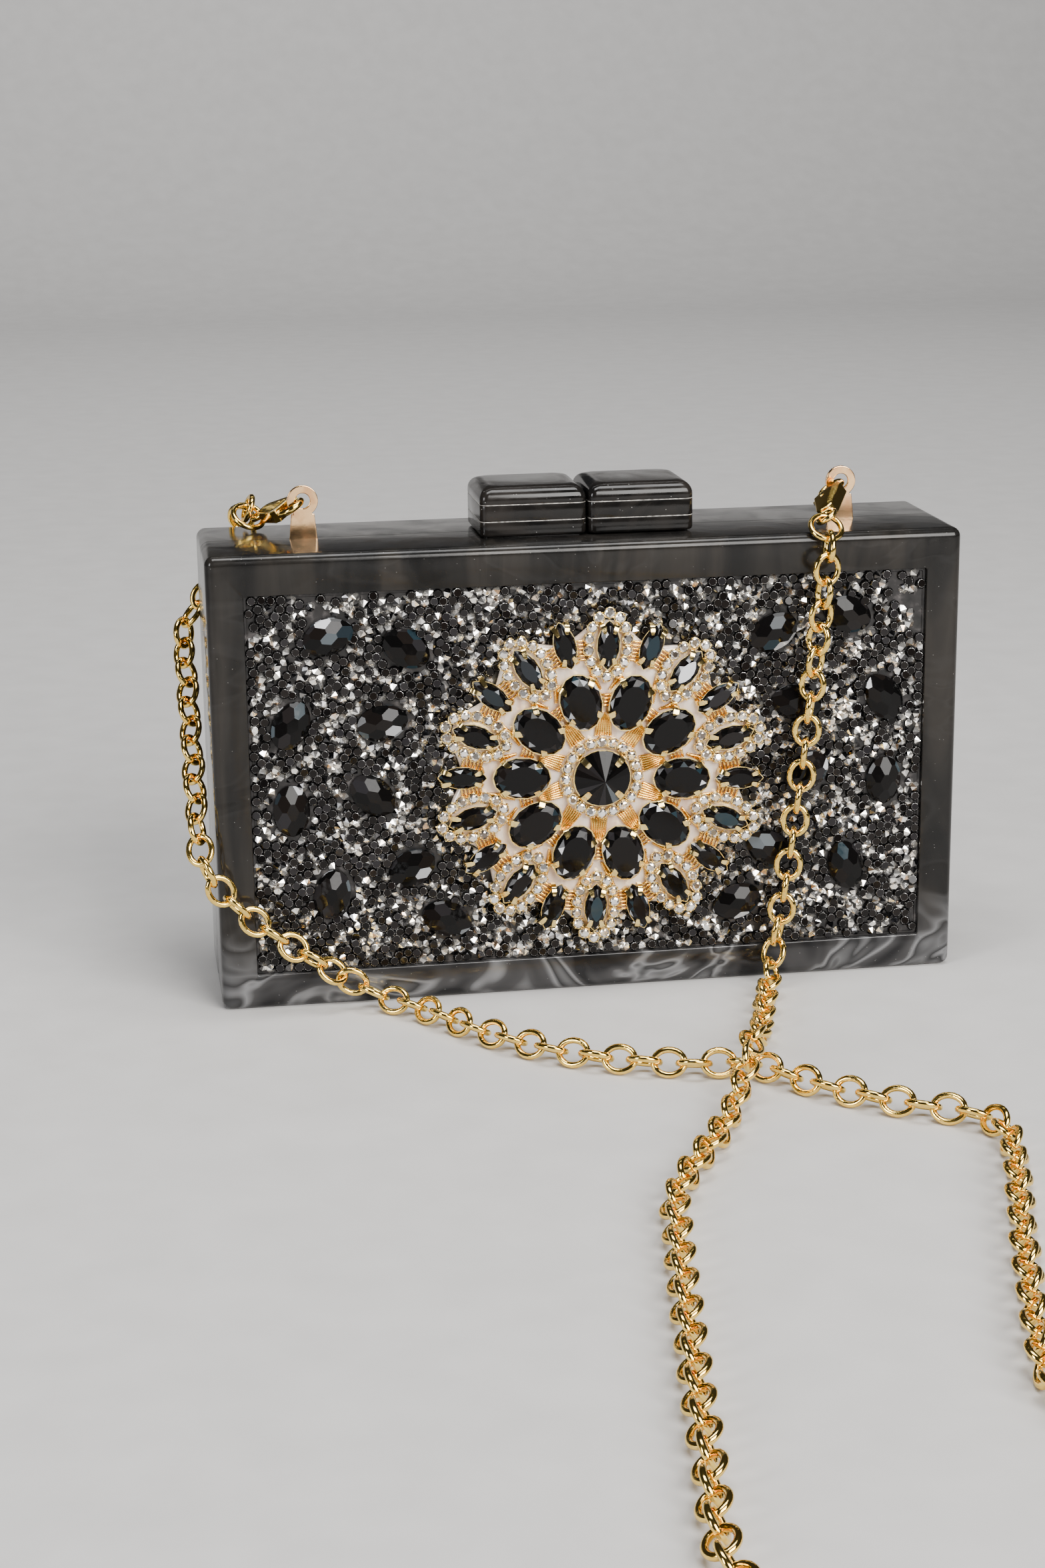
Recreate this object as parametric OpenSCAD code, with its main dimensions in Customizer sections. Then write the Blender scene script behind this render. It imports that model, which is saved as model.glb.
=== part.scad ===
// Hard-shell evening bag: two acrylic halves hinged along the base, a window
// filled with set stones, interlocking clasp blocks and a detachable link chain.
// Millimetres, +Z up, front face towards -Y. The origin is at the middle of the
// footprint on the surface that the bag stands on.

/* [Case] */
// Width of the case
case_w = 200; // [196:1:204]
// Height of the two halves, without the clasp blocks
case_h = 122; // [120:1:124]
// Depth of the closed case
case_d = 48; // [46:1:50]
// Thickness of the acrylic walls
wall = 3; // [2.8:0.1:3.2]
// Radius of the outer edges
edge_r = 2.5; // [1.5:0.5:3]
// Gap between the halves at the seam
seam_gap = 0.3; // [0.2:0.1:0.4]

/* [Window] */
// Width of the window in the front
window_w = 181; // [176:1:184]
// Height of the window
window_h = 102; // [98:1:104]
// Height of the window's centre above the base
window_z = 60.5; // [59:0.5:62]

/* [Rosette] */
// How far the rosette stands proud of the front face
rosette_rise = 8; // [7.5:0.1:8.5]
// Sideways place of the rosette's centre
rosette_x = 2; // [-3:0.5:3]
// Height of the rosette's centre above the base
rosette_z = 59.5; // [57:0.5:62]
// Petals in each ring
petals = 10; // [8:1:10]

/* [Clasp blocks] */
// Width of each clasp block
block_w = 28.2; // [26:0.2:30]
// Depth of each clasp block
block_d = 26; // [24:1:28]
// Thickness of one laminated layer
layer_t = 4.4; // [4.2:0.1:4.6]
// Gap between the two blocks
block_gap = 0.5; // [0.4:0.05:0.6]
// Sideways place of the gap between the blocks
block_x = 1.1; // [-3:0.1:3]

/* [Chain] */
// Outside diameter of the space a twisted link turns in
chain_d = 6.2; // [6:0.1:6.4]
// Wire diameter of the jump rings
ring_wire = 1.5; // [1.2:0.1:1.6]
// Outside diameter of the jump rings
ring_d = 9.8; // [9.4:0.1:10.2]

/* [Hidden] */
$fn = 48;

// The seam lies behind the middle of the footprint by half of the rosette's rise.
seam_y = rosette_rise / 2;
cut = 1; // how far a cutter runs past a face

// Layers of the front, as depths measured back from the front face
front = -case_d / 2;
inner_face = front + wall;
board_t = 1.4;
field_t = 0.9;
sheet_t = 1;
field_face = inner_face - board_t - field_t;
backer_margin = 1.5;

// Hinge along the base
hinge_z = 2.4;
hinge_r = 2.2;
hinge_relief = 2.6;
pin_r = 0.9;
pin_clearance = 0.05;
hinge_len = 186;
knuckles = 9;
knuckle_gap = 0.3;
leaf_t = 1;
leaf_reach = 14;
screw_r = 1;
screw_x = [-82, -41, 0, 41, 82];
screw_y = 9;
screw_depth = 2.2;

// Lining trays
lining_side = 1.5;
lining_low = 5.2;
lining_high = case_h - wall - 1.8;
lining_lip = 1;

// Tabs that carry the chain
tab_x = 72.8;
tab_w = 7.4;
tab_neck = 6.1;
tab_t = 1;
tab_head_r = 4.1;
tab_hole_r = 2;
tab_head_z = case_h + 10;
tab_foot = 9;
tab_inset = 0.2;
rivet_r = 0.8;
rivet_y = [-4, -7.4];

// Lobster clasps, each in a frame of its own with +X from the hook to the tail
hook_r = 3.2;
hook_wire = 0.9;
clasp_t = 3.4;
trigger_t = 1.4;
trigger_pin = [6.6, 1.1];
trigger_pin_r = 0.45;
tail_x = 19;
tail_r = 2.5;
tail_wire = 0.75;
rim_mid = (tab_head_r + tab_hole_r) / 2;
hook_slack = 1.1;
left_dip = 32;
left_swing = 65;
right_dip = 36;
right_swing = -67;

// Ball catch between the blocks
catch_z = case_h + 1.5 * layer_t;
ball_r = 1.4;
ball_out = 0.9;
sleeve_r = 1.9;
sleeve_len = 8;
spring_r = 1.05;
spring_wire = 0.16;
spring_turns = 8;
strike_r = 2;
strike_t = 1;
step = 0.3; // gap under the part of a block that reaches over the other half

// Stones
oval_ring = 21.5;
oval_size = [15.2, 11];
plain_ring = 37.3;
plain_size = [12.8, 5.9];
halo_ring = 35.8;
halo_size = [13, 6.1];
halo_band = 3.6;
petal_turn = -3; // whole rosette, degrees
half_petal = 180 / petals;
base_t = 1.5;
setting_t = 2;
base_face = field_face - base_t;
setting_face = base_face - setting_t;
center_r = 7.5;
center_ring = 9.7;
center_count = 20;
center_small_r = 1.45;
marquise_t = 2.6;
oval_t = 2.8;
seat = 0.7; // depth of a halo stone's seat
prong_r = 0.45;
prong_out = 0.55;
bridge_start = 12.6;
bridge_len = 3.4;
bridge_r = 0.6;

// Large checkerboard stones on the left half, as [x, z, turn]; mirrored to the right
accents = [
    [-69, 100, 20], [-49, 96, -30], [-79.5, 77, 60], [-55.5, 76.5, 10], [-80, 54, 90],
    [-58.5, 57, -40], [-48.5, 36.5, 30], [-70, 30.5, 75], [-39.5, 22, -20]
];
accent_size = [13.6, 9.6];
accent_t = 2.5;

// Route of the chain's middle line, from the left jump ring round to the right one
low = chain_d / 2;
route_behind = [
    [-85, 21, 128], [-86, 26, 126.5], [-87.5, 30.5, 123.5], [-89, 32, 117], [-93, 32, 108],
    [-100, 31.5, 100], [-104.5, 27, 93]
];
route_left = [
    [-104.5, 20, 85], [-104.5, 10, 75], [-104.5, -2, 64], [-104.5, -12, 55],
    [-104.5, -20, 47], [-102, -25, 39], [-94, -25.2, 29], [-83, -25.2, 20], [-72, -25.2, 12],
    [-62, -26, 6], [-53, -32, low], [-45, -43, low], [-35, -58, low], [-22, -72, low],
    [-6, -83, low], [11, -89.5, low], [26, -93, low], [38, -108, low], [52, -121.5, low],
    [66, -131, low], [72.5, -138, low], [73, -148, low], [69, -165, low], [61, -191, low],
    [53, -218, low], [46, -243, low], [42, -262, low]
];
route_loop = [
    [45, -282, low], [48, -302, low], [46, -322, low], [38, -341, low], [22, -353, low],
    [3, -356, low], [-15, -350, low], [-27, -336, low], [-32, -318, low]
];
route_right = [
    [-31.5, -302, low], [-28, -280, low], [-24.5, -256, low], [-20.5, -231, low],
    [-16.5, -206, low], [-12.5, -183, low], [-9.5, -168, low], [-3, -153.5, low],
    [8.5, -133, low], [18, -113, 5.5], [26, -93, 9.8], [32, -76, 5.5], [37, -60, low],
    [42.5, -42, low], [46.5, -31, 5], [48.5, -26, 10], [50.5, -25.2, 20], [53, -25.2, 38],
    [55.5, -25.2, 57], [57.5, -25.2, 76], [59.5, -25.2, 94], [61.5, -25.2, 112], [62.5, -24.5, 117.5]
];
route = concat(route_behind, route_left, route_loop, route_right);
behind_end = len(route_behind) - 1;
left_end = behind_end + len(route_left);
loop_end = left_end + len(route_loop);
tube_sides = 8;

// ---------------------------------------------------------------- helpers

// Points of a rectangle with round corners, centred on the origin
function rounded_rect(w, h, r, steps = 5) = [
    for (corner = [0:3], i = [0:steps])
        let (a = 90 * corner + 90 * i / steps,
             cx = (corner == 0 || corner == 3) ? w / 2 - r : r - w / 2,
             cy = corner < 2 ? h / 2 - r : r - h / 2)
        [cx + r * cos(a), cy + r * sin(a)]
];

// Points of an ellipse
function oval_points(size, n = 16) = [
    for (i = [0:n - 1]) [size[0] / 2 * cos(360 * i / n), size[1] / 2 * sin(360 * i / n)]
];

// Points of a marquise, an ellipse drawn in to a point at each end
function marquise_points(size, n = 16) = [
    for (i = [0:n - 1])
        let (a = 360 * i / n)
        [size[0] / 2 * cos(a), size[1] / 2 * sign(sin(a)) * pow(abs(sin(a)), 1.6)]
];

function unit(v) = v / norm(v);
function tangent(path, i) =
    unit(path[min(i + 1, len(path) - 1)] - path[max(i - 1, 0)]);

// One ring of a swept tube, square to the path and with its sides kept level
function tube_ring(p, t, r, sides) =
    let (flat = abs(t[2]) > 0.9 ? [1, 0, 0] : [0, 0, 1],
         u = unit(cross(t, flat)), v = cross(u, t))
    [for (k = [0:sides - 1]) p + r * (cos(360 * k / sides) * u + sin(360 * k / sides) * v)];

// A closed tube along the points of path from first to last
module tube(path, first, last, r, sides) {
    n = last - first + 1;
    rings = [for (i = [first:last]) each tube_ring(path[i], tangent(path, i), r, sides)];
    skin = [
        for (i = [0:n - 2], k = [0:sides - 1])
            let (a = i * sides + k, b = i * sides + (k + 1) % sides)
            each [[a, b, b + sides], [a, b + sides, a + sides]]
    ];
    caps = [
        for (k = [1:sides - 2])
            each [[0, k + 1, k], [(n - 1) * sides, (n - 1) * sides + k, (n - 1) * sides + k + 1]]
    ];
    polyhedron(points = rings, faces = concat(skin, caps));
}

// Places its children in the frame of the seam
module at_seam() translate([0, seam_y, 0]) children();

// Extrudes an outline in X and Z towards the front, from y_back by depth
module forward(y_back, depth, taper = 1)
    translate([0, y_back, 0]) rotate([90, 0, 0])
        linear_extrude(height = depth, scale = taper) children();

// ---------------------------------------------------------------- case halves

// Solid block of one half, rounded along its outer edges; it opens towards +Y
module half_block() {
    hull() for (a = [0:18:90]) {
        inset = edge_r * (1 - cos(a));
        y = front + edge_r * (1 - sin(a));
        translate([0, 0, case_h / 2])
            forward(a == 0 ? -seam_gap / 2 : y + 0.01, a == 0 ? -seam_gap / 2 - y : 0.01)
                polygon(rounded_rect(case_w - 2 * inset, case_h - 2 * inset, edge_r));
    }
}

// One half hollowed out, with the slot for the hinge and its screw holes
module half_shell() {
    difference() {
        half_block();
        translate([-case_w / 2 + wall, inner_face, wall])
            cube([case_w - 2 * wall, case_d, case_h - 2 * wall]);
        translate([-case_w, -hinge_relief, -cut]) cube([2 * case_w, case_d, wall + cut]);
        for (x = screw_x) translate([x, -screw_y, wall - screw_depth])
            cylinder(r = screw_r, h = screw_depth + cut);
    }
}

module front_frame() color("#2b2a2c") at_seam() difference() {
    half_shell();
    translate([-window_w / 2, front - cut, window_z - window_h / 2])
        cube([window_w, wall + 2 * cut, window_h]);
    for (x = [-tab_x, tab_x]) {
        translate([x - tab_w / 2 - 0.1, -tab_t - tab_inset, case_h - wall - cut])
            cube([tab_w + 0.2, 3 * cut, wall + 2 * cut]);
        for (y = rivet_y) translate([x, y, case_h - wall - cut])
            cylinder(r = rivet_r, h = 2 + cut);
    }
}

module back_shell() color("#232225") at_seam() mirror([0, 1, 0]) half_shell();

// ---------------------------------------------------------------- window panel

module panel_backer() color("#161616") at_seam()
    translate([0, 0, window_z]) forward(inner_face + sheet_t, sheet_t)
        square([case_w - 2 * wall - 2 * backer_margin, window_h + 8], center = true);

module panel_board() color("#1a1a1a") at_seam()
    translate([0, 0, window_z]) forward(inner_face, board_t)
        square([window_w - 0.2, window_h - 0.2], center = true);

module stone_field() color("#6d6a6a") at_seam()
    translate([0, 0, window_z]) forward(inner_face - board_t, field_t)
        square([window_w - 0.4, window_h - 0.4], center = true);

module accent_stones() color("#111114") at_seam()
    for (side = [-1, 1], s = accents)
        translate([-side * s[0], 0, s[1]]) rotate([0, side * s[2], 0])
            forward(field_face, accent_t, 0.7) polygon(oval_points(accent_size, 12));

// ---------------------------------------------------------------- rosette

// Copies its children round the rosette at a radius, turned to point outwards
module petal_ring(radius, turn = 0) at_seam()
    translate([rosette_x, 0, rosette_z])
        for (i = [0:petals - 1]) rotate([0, -(i * 360 / petals + petal_turn + turn), 0])
            translate([radius, 0, 0]) children();

module rosette_base() color("#e8d8c6") union() {
    at_seam() translate([rosette_x, 0, rosette_z]) forward(field_face, base_t) circle(r = 35);
    petal_ring(halo_ring, half_petal) forward(field_face, base_t) circle(r = 7.4);
    petal_ring(plain_ring) forward(field_face, base_t) circle(r = 4.5);
}

module bullion_bridges() color("#c8963c")
    petal_ring(bridge_start, half_petal) translate([0, base_face, 0]) rotate([0, 90, 0])
        difference() {
            cylinder(r = bridge_r, h = bridge_len);
            translate([-cut, 0, -cut]) cube([2 * cut, 2 * cut, bridge_len + 2 * cut]);
        }

// Four prongs that stand close outside an oval stone
module prongs(size, y_back, depth)
    for (a = [50, 130, 230, 310])
        translate([(size[0] / 2 + prong_out) * cos(a), 0, (size[1] / 2 + prong_out) * sin(a)])
            forward(y_back, depth) circle(r = prong_r);

module center_setting() color("#d9ad54") at_seam() translate([rosette_x, 0, rosette_z]) {
    forward(base_face, setting_t) circle(r = center_r - 0.3);
    for (a = [45:90:315]) rotate([0, a, 0]) translate([center_r - 0.3, 0, 0])
        forward(base_face, setting_t - 0.2) circle(r = prong_r);
}

module center_stone() color("#0c0c10") at_seam() translate([rosette_x, 0, rosette_z])
    forward(setting_face, setting_face - front + rosette_rise, 0.1) circle(r = center_r, $fn = 24);

module center_rhinestones() color("#f2efe8") at_seam() translate([rosette_x, 0, rosette_z])
    for (i = [0:center_count - 1]) rotate([0, i * 360 / center_count, 0])
        translate([center_ring, 0, 0])
            forward(base_face, 2.2, 0.75) circle(r = center_small_r, $fn = 8);

module oval_settings() color("#d9ad54") petal_ring(oval_ring) {
    forward(base_face, setting_t) polygon(oval_points([oval_size[0] + 0.5, oval_size[1] + 0.5]));
    prongs(oval_size, base_face, setting_t + 0.6);
}

module oval_stones() color("#0c0c10") petal_ring(oval_ring)
    forward(setting_face, oval_t, 0.72) polygon(oval_points(oval_size));

module halo_rims() color("#e6d3a8") petal_ring(halo_ring, half_petal) difference() {
    forward(base_face, setting_t)
        polygon(oval_points([halo_size[0] + 2 * halo_band, halo_size[1] + 2 * halo_band]));
    forward(setting_face + seat, seat + cut)
        polygon(marquise_points([halo_size[0] + 0.6, halo_size[1] + 0.6]));
}

module halo_marquises() color("#0c0c10") petal_ring(halo_ring, half_petal)
    forward(setting_face + seat, marquise_t, 0.6) polygon(marquise_points(halo_size));

module plain_settings() color("#d9ad54") petal_ring(plain_ring)
    forward(base_face, setting_t - 0.4)
        polygon(marquise_points([plain_size[0] - 0.4, plain_size[1] - 0.4]));

module plain_marquises() color("#0c0c10") petal_ring(plain_ring)
    forward(setting_face + 0.4, marquise_t, 0.6) polygon(marquise_points(plain_size));

// ---------------------------------------------------------------- linings

// A flocked tray that stands off the walls, open towards the seam
module lining_tray(y_back) {
    w = case_w - 2 * wall - 2 * lining_side;
    difference() {
        translate([-w / 2, y_back, lining_low])
            cube([w, -lining_lip - y_back, lining_high - lining_low]);
        translate([-w / 2 + sheet_t, y_back + sheet_t, lining_low + sheet_t])
            cube([w - 2 * sheet_t, case_d, lining_high - lining_low - 2 * sheet_t]);
    }
}

module front_lining() color("#3a2f33") at_seam() lining_tray(inner_face + sheet_t);

module back_lining() color("#3a2f33") at_seam() mirror([0, 1, 0]) lining_tray(inner_face);

// ---------------------------------------------------------------- hinge

// A leaf with every second knuckle, starting from the given one
module hinge_leaf(first) {
    pitch = hinge_len / knuckles;
    difference() {
        union() {
            translate([-hinge_len / 2, -leaf_reach, wall])
                cube([hinge_len, leaf_reach - hinge_relief, leaf_t]);
            for (i = [first:2:knuckles - 1]) translate([-hinge_len / 2 + i * pitch + knuckle_gap / 2, 0, 0]) {
                translate([0, -hinge_relief - 0.1, wall])
                    cube([pitch - knuckle_gap, hinge_relief + 0.1, leaf_t]);
                translate([0, 0, hinge_z]) rotate([0, 90, 0])
                    cylinder(r = hinge_r, h = pitch - knuckle_gap);
            }
        }
        translate([-hinge_len, 0, hinge_z]) rotate([0, 90, 0])
            cylinder(r = pin_r + pin_clearance, h = 2 * hinge_len);
        for (x = screw_x) translate([x, -screw_y, wall - cut]) cylinder(r = screw_r + 0.1, h = 3 * cut);
    }
}

module screws()
    for (x = screw_x) translate([x, -screw_y, 0]) {
        translate([0, 0, wall - screw_depth]) cylinder(r = screw_r - 0.02, h = screw_depth + leaf_t);
        difference() {
            translate([0, 0, wall + leaf_t]) cylinder(r = 1.9, h = 0.8);
            translate([-cut, -0.2, wall + leaf_t + 0.5]) cube([2 * cut, 0.4, cut]);
            translate([-0.2, -cut, wall + leaf_t + 0.5]) cube([0.4, 2 * cut, cut]);
        }
    }

module front_hinge_leaf() color("#c9a24e") at_seam() hinge_leaf(0);

module back_hinge_leaf() color("#c9a24e") at_seam() mirror([0, 1, 0]) hinge_leaf(1);

module hinge_pin() color("#b8924a") at_seam()
    translate([-hinge_len / 2, 0, hinge_z]) rotate([0, 90, 0]) cylinder(r = pin_r, h = hinge_len);

module front_hinge_screws() color("#caa65a") at_seam() screws();

module back_hinge_screws() color("#caa65a") at_seam() mirror([0, 1, 0]) screws();

// ---------------------------------------------------------------- tabs

// Flat plate that stands in the seam, with a round head and a foot inside the case
module tab() difference() {
    union() {
        forward(-tab_inset, tab_t) {
            polygon([
                [-tab_w / 2, case_h - wall - tab_t], [tab_w / 2, case_h - wall - tab_t],
                [tab_w / 2, case_h], [tab_neck / 2, case_h + 6.5],
                [-tab_neck / 2, case_h + 6.5], [-tab_w / 2, case_h]
            ]);
            translate([0, tab_head_z]) circle(r = tab_head_r);
        }
        translate([-tab_w / 2, -tab_foot, case_h - wall - tab_t])
            cube([tab_w, tab_foot - tab_inset, tab_t]);
    }
    translate([0, 0, tab_head_z]) forward(cut, 2 * cut + tab_t) circle(r = tab_hole_r);
    for (y = rivet_y) translate([0, y, case_h - wall - 2 * cut]) cylinder(r = rivet_r + 0.05, h = 3 * cut);
}

module left_tab() color("#d8a94c") at_seam() translate([-tab_x, 0, 0]) tab();

module right_tab() color("#d8a94c") at_seam() translate([tab_x, 0, 0]) tab();

module tab_rivets() color("#caa65a") at_seam()
    for (x = [-tab_x, tab_x], y = rivet_y) translate([x, y, case_h - wall - tab_t]) {
        cylinder(r = rivet_r - 0.02, h = tab_t + 2);
        translate([0, 0, -0.5]) cylinder(r = 1.4, h = 0.5);
    }

// ---------------------------------------------------------------- clasp blocks

// Slab of a block between two heights; x runs from 0 to block_w
module block_layer(z0, z1) translate([block_w / 2, 0, z0])
    linear_extrude(height = z1 - z0) polygon(rounded_rect(block_w, block_d, 2));

// Lowest layer: it is glued to the half on the +Y side and clears the other half
module block_base() difference() {
    block_layer(case_h, case_h + layer_t);
    translate([-cut, -block_d, case_h - cut]) cube([block_w + 2 * cut, block_d + seam_gap / 2, step + cut]);
}

module block_middle() block_layer(case_h + layer_t, case_h + 2 * layer_t);

// Highest layer, rounded along its top edges
module block_top() {
    r = 3.4;
    z = case_h + 2 * layer_t;
    translate([block_w / 2, 0, z]) hull() for (a = [0:18:90]) {
        inset = r * (1 - cos(a));
        translate([0, 0, a == 0 ? 0 : layer_t + 0.2 - r * (1 - sin(a)) - 0.01])
            linear_extrude(height = a == 0 ? layer_t + 0.2 - r : 0.01)
                polygon(rounded_rect(block_w - 2 * inset, block_d - 2 * inset, max(2, 1.2 * inset)));
    }
}

// The front block lies left of the gap and the back block right of it
module front_block_place() at_seam() translate([block_x - block_gap / 2, 0, 0]) rotate([0, 0, 180]) children();

module back_block_place() at_seam() translate([block_x + block_gap / 2, 0, 0]) children();

module front_block_base() color("#1b1a1c") front_block_place() block_base();

module front_block_middle() color("#201f21") front_block_place() difference() {
    block_middle();
    translate([-cut, 0, catch_z]) rotate([0, 90, 0]) cylinder(r = sleeve_r, h = sleeve_len + cut);
}

module front_block_top() color("#1b1a1c") front_block_place() block_top();

module back_block_base() color("#1b1a1c") back_block_place() block_base();

module back_block_middle() color("#201f21") back_block_place() difference() {
    block_middle();
    translate([-cut, 0, catch_z]) rotate([0, 90, 0]) cylinder(r = strike_r, h = strike_t + cut);
}

module back_block_top() color("#1b1a1c") back_block_place() block_top();

// ---------------------------------------------------------------- ball catch

// Frame of the catch: origin on the front block's end face, +X into the back block
module catch_place() at_seam() translate([block_x - block_gap / 2, 0, catch_z]) children();

module catch_sleeve() color("#c9a24e") catch_place() difference() {
    translate([-sleeve_len, 0, 0]) rotate([0, 90, 0]) cylinder(r = sleeve_r - 0.02, h = sleeve_len);
    translate([-sleeve_len + 0.8, 0, 0]) rotate([0, 90, 0]) cylinder(r = ball_r + 0.05, h = sleeve_len);
}

module catch_ball() color("#d8d8dc") catch_place()
    translate([ball_out - ball_r, 0, 0]) sphere(r = ball_r);

module catch_spring() color("#b9b9bd") catch_place() {
    start = -sleeve_len + 0.8 + spring_wire;
    run = ball_out - 2 * ball_r - spring_wire - 0.1 - start;
    n = spring_turns * 10;
    coil = [
        for (i = [0:n])
            [start + run * i / n, spring_r * cos(360 * spring_turns * i / n), spring_r * sin(360 * spring_turns * i / n)]
    ];
    tube(coil, 0, n, spring_wire, 6);
}

module catch_strike() color("#c9a24e") back_block_place() difference() {
    translate([0, 0, catch_z]) rotate([0, 90, 0]) cylinder(r = strike_r - 0.02, h = strike_t);
    translate([ball_out - ball_r - block_gap, 0, catch_z]) sphere(r = ball_r + 0.1);
}

// ---------------------------------------------------------------- lobster clasps

// Hook, slotted body and tail loop in one casting
module clasp_body() {
    difference() {
        union() {
            rotate([0, 0, 80]) rotate_extrude(angle = 235)
                translate([hook_r, 0]) circle(r = hook_wire, $fn = 24);
            translate([hook_r * cos(80), hook_r * sin(80), 0]) sphere(r = hook_wire, $fn = 24);
            linear_extrude(height = clasp_t, center = true)
                polygon([
                    [1.9, -3.6], [4, -4.3], [15.6, -2.4], [16.6, -1.2], [16.6, 1.2], [15.6, 2.4],
                    [5.2, 4], [4.2, 3.4], [2.9, 1.4]
                ]);
        }
        linear_extrude(height = trigger_t + 0.2, center = true)
            polygon([[1.6, -1.2], [9.4, -1.9], [9.9, 0.4], [9.4, 6], [1.6, 6]]);
        translate([trigger_pin[0], trigger_pin[1], 0]) cylinder(r = trigger_pin_r, h = 2 * clasp_t, center = true);
    }
    translate([tail_x, 0, 0]) rotate_extrude() translate([tail_r, 0]) circle(r = tail_wire, $fn = 24);
}

// Lever that closes the hook, with a thumb piece on its outside
module clasp_trigger() difference() {
    linear_extrude(height = trigger_t, center = true)
        polygon([
            [1.7, 2.5], [4.6, 1.3], [6, 0], [7.8, 0.2], [8.2, 1.5], [7.2, 2.6], [5.8, 4.3], [4.4, 5.1],
            [3.7, 4.6], [3.5, 3.7], [1.7, 4]
        ]);
    translate([trigger_pin[0], trigger_pin[1], 0])
        cylinder(r = trigger_pin_r + 0.05, h = 2 * clasp_t, center = true);
}

module clasp_pin() translate([trigger_pin[0], trigger_pin[1], 0])
    cylinder(r = trigger_pin_r - 0.01, h = clasp_t, center = true);

// Leaf spring that lies in the slot under the trigger
module clasp_spring() linear_extrude(height = trigger_t - 0.4, center = true)
    polygon([[4.7, -0.5], [8.9, -1.3], [9.5, -0.2], [9.3, -0.1], [8.8, -1], [4.8, -0.2]]);

// Places a clasp so that its hook passes through a tab's hole
module clasp_place(x, dip, swing) at_seam()
    translate([x - rim_mid * cos(dip), -tab_inset - tab_t / 2, tab_head_z - rim_mid * sin(dip)])
        rotate([0, 180 - dip, 0]) rotate([0, 0, swing]) translate([hook_slack, 0, 0]) children();

module left_place() clasp_place(-tab_x, left_dip, left_swing) children();

module right_place() clasp_place(tab_x, right_dip, right_swing) children();

module left_clasp() color("#d9a441") left_place() clasp_body();

module left_trigger() color("#e0b458") left_place() clasp_trigger();

module left_trigger_pin() color("#c9a24e") left_place() clasp_pin();

module left_trigger_spring() color("#b9b9bd") left_place() clasp_spring();

module right_clasp() color("#d9a441") right_place() clasp_body();

module right_trigger() color("#e0b458") right_place() clasp_trigger();

module right_trigger_pin() color("#c9a24e") right_place() clasp_pin();

module right_trigger_spring() color("#b9b9bd") right_place() clasp_spring();

// ---------------------------------------------------------------- rings and chain

module jump_ring(place, turn) color("#dba545") translate(place) rotate(turn)
    rotate_extrude() translate([(ring_d - ring_wire) / 2, 0]) circle(r = ring_wire / 2, $fn = 24);

module left_jump_ring() jump_ring([-86.1, 19.8, 125.7], [39, 0, 28]);

module right_jump_ring() jump_ring([63, -18.7, 123.3], [39, 0, 8]);

module chain_part(first, last) color("#d9a441") tube(route, first, last, chain_d / 2, tube_sides);

module chain_behind() chain_part(0, behind_end);

module chain_left() chain_part(behind_end, left_end);

module chain_loop() chain_part(left_end, loop_end);

module chain_right() chain_part(loop_end, len(route) - 1);

// ---------------------------------------------------------------- output

front_frame();
panel_backer();
panel_board();
stone_field();
accent_stones();
rosette_base();
bullion_bridges();
center_setting();
center_stone();
center_rhinestones();
oval_settings();
oval_stones();
halo_rims();
halo_marquises();
plain_settings();
plain_marquises();
front_lining();
front_hinge_leaf();
hinge_pin();
front_hinge_screws();
left_tab();
right_tab();
tab_rivets();
front_block_base();
front_block_middle();
front_block_top();
catch_sleeve();
catch_spring();
catch_ball();
left_clasp();
left_trigger();
left_trigger_pin();
left_trigger_spring();
left_jump_ring();
right_clasp();
right_trigger();
right_trigger_pin();
right_trigger_spring();
right_jump_ring();
chain_behind();
chain_left();
chain_loop();
chain_right();
back_shell();
back_lining();
back_hinge_leaf();
back_hinge_screws();
back_block_base();
back_block_middle();
back_block_top();
catch_strike();
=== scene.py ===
"""Looks of the evening bag: marbled acrylic halves, a panel of set stones with a flower rosette,
laminated clasp blocks, lobster clasps and a real link chain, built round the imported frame.
Shapes are worked out in millimetres, in the frame's axes, and scaled to metres when a mesh is made."""

import math

import bmesh
import bpy
import numpy as np
from mathutils import Matrix, Vector


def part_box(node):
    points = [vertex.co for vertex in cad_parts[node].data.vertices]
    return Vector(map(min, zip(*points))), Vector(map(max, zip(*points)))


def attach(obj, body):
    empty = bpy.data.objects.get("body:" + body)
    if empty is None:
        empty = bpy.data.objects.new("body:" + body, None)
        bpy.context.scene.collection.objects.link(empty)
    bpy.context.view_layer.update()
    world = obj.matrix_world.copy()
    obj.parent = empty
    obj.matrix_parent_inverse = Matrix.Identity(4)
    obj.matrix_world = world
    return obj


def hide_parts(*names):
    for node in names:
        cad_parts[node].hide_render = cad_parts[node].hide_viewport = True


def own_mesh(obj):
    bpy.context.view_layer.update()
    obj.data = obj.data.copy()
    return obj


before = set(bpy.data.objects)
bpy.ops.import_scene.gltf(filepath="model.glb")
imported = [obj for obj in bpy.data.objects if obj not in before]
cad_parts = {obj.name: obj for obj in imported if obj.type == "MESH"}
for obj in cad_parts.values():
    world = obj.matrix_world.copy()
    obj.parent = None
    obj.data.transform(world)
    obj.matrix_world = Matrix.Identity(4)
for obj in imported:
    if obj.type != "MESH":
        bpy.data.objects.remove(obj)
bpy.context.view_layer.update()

MM = 0.001
FRONT, BACK = "front_half", "back_half"
RNG = np.random.default_rng(11)


def box_mm(node):
    """Lowest and highest corner of a CAD node, in millimetres."""
    lo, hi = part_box(node)
    return np.array(lo) / MM, np.array(hi) / MM


# ------------------------------------------------------------------ measures of the case

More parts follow.
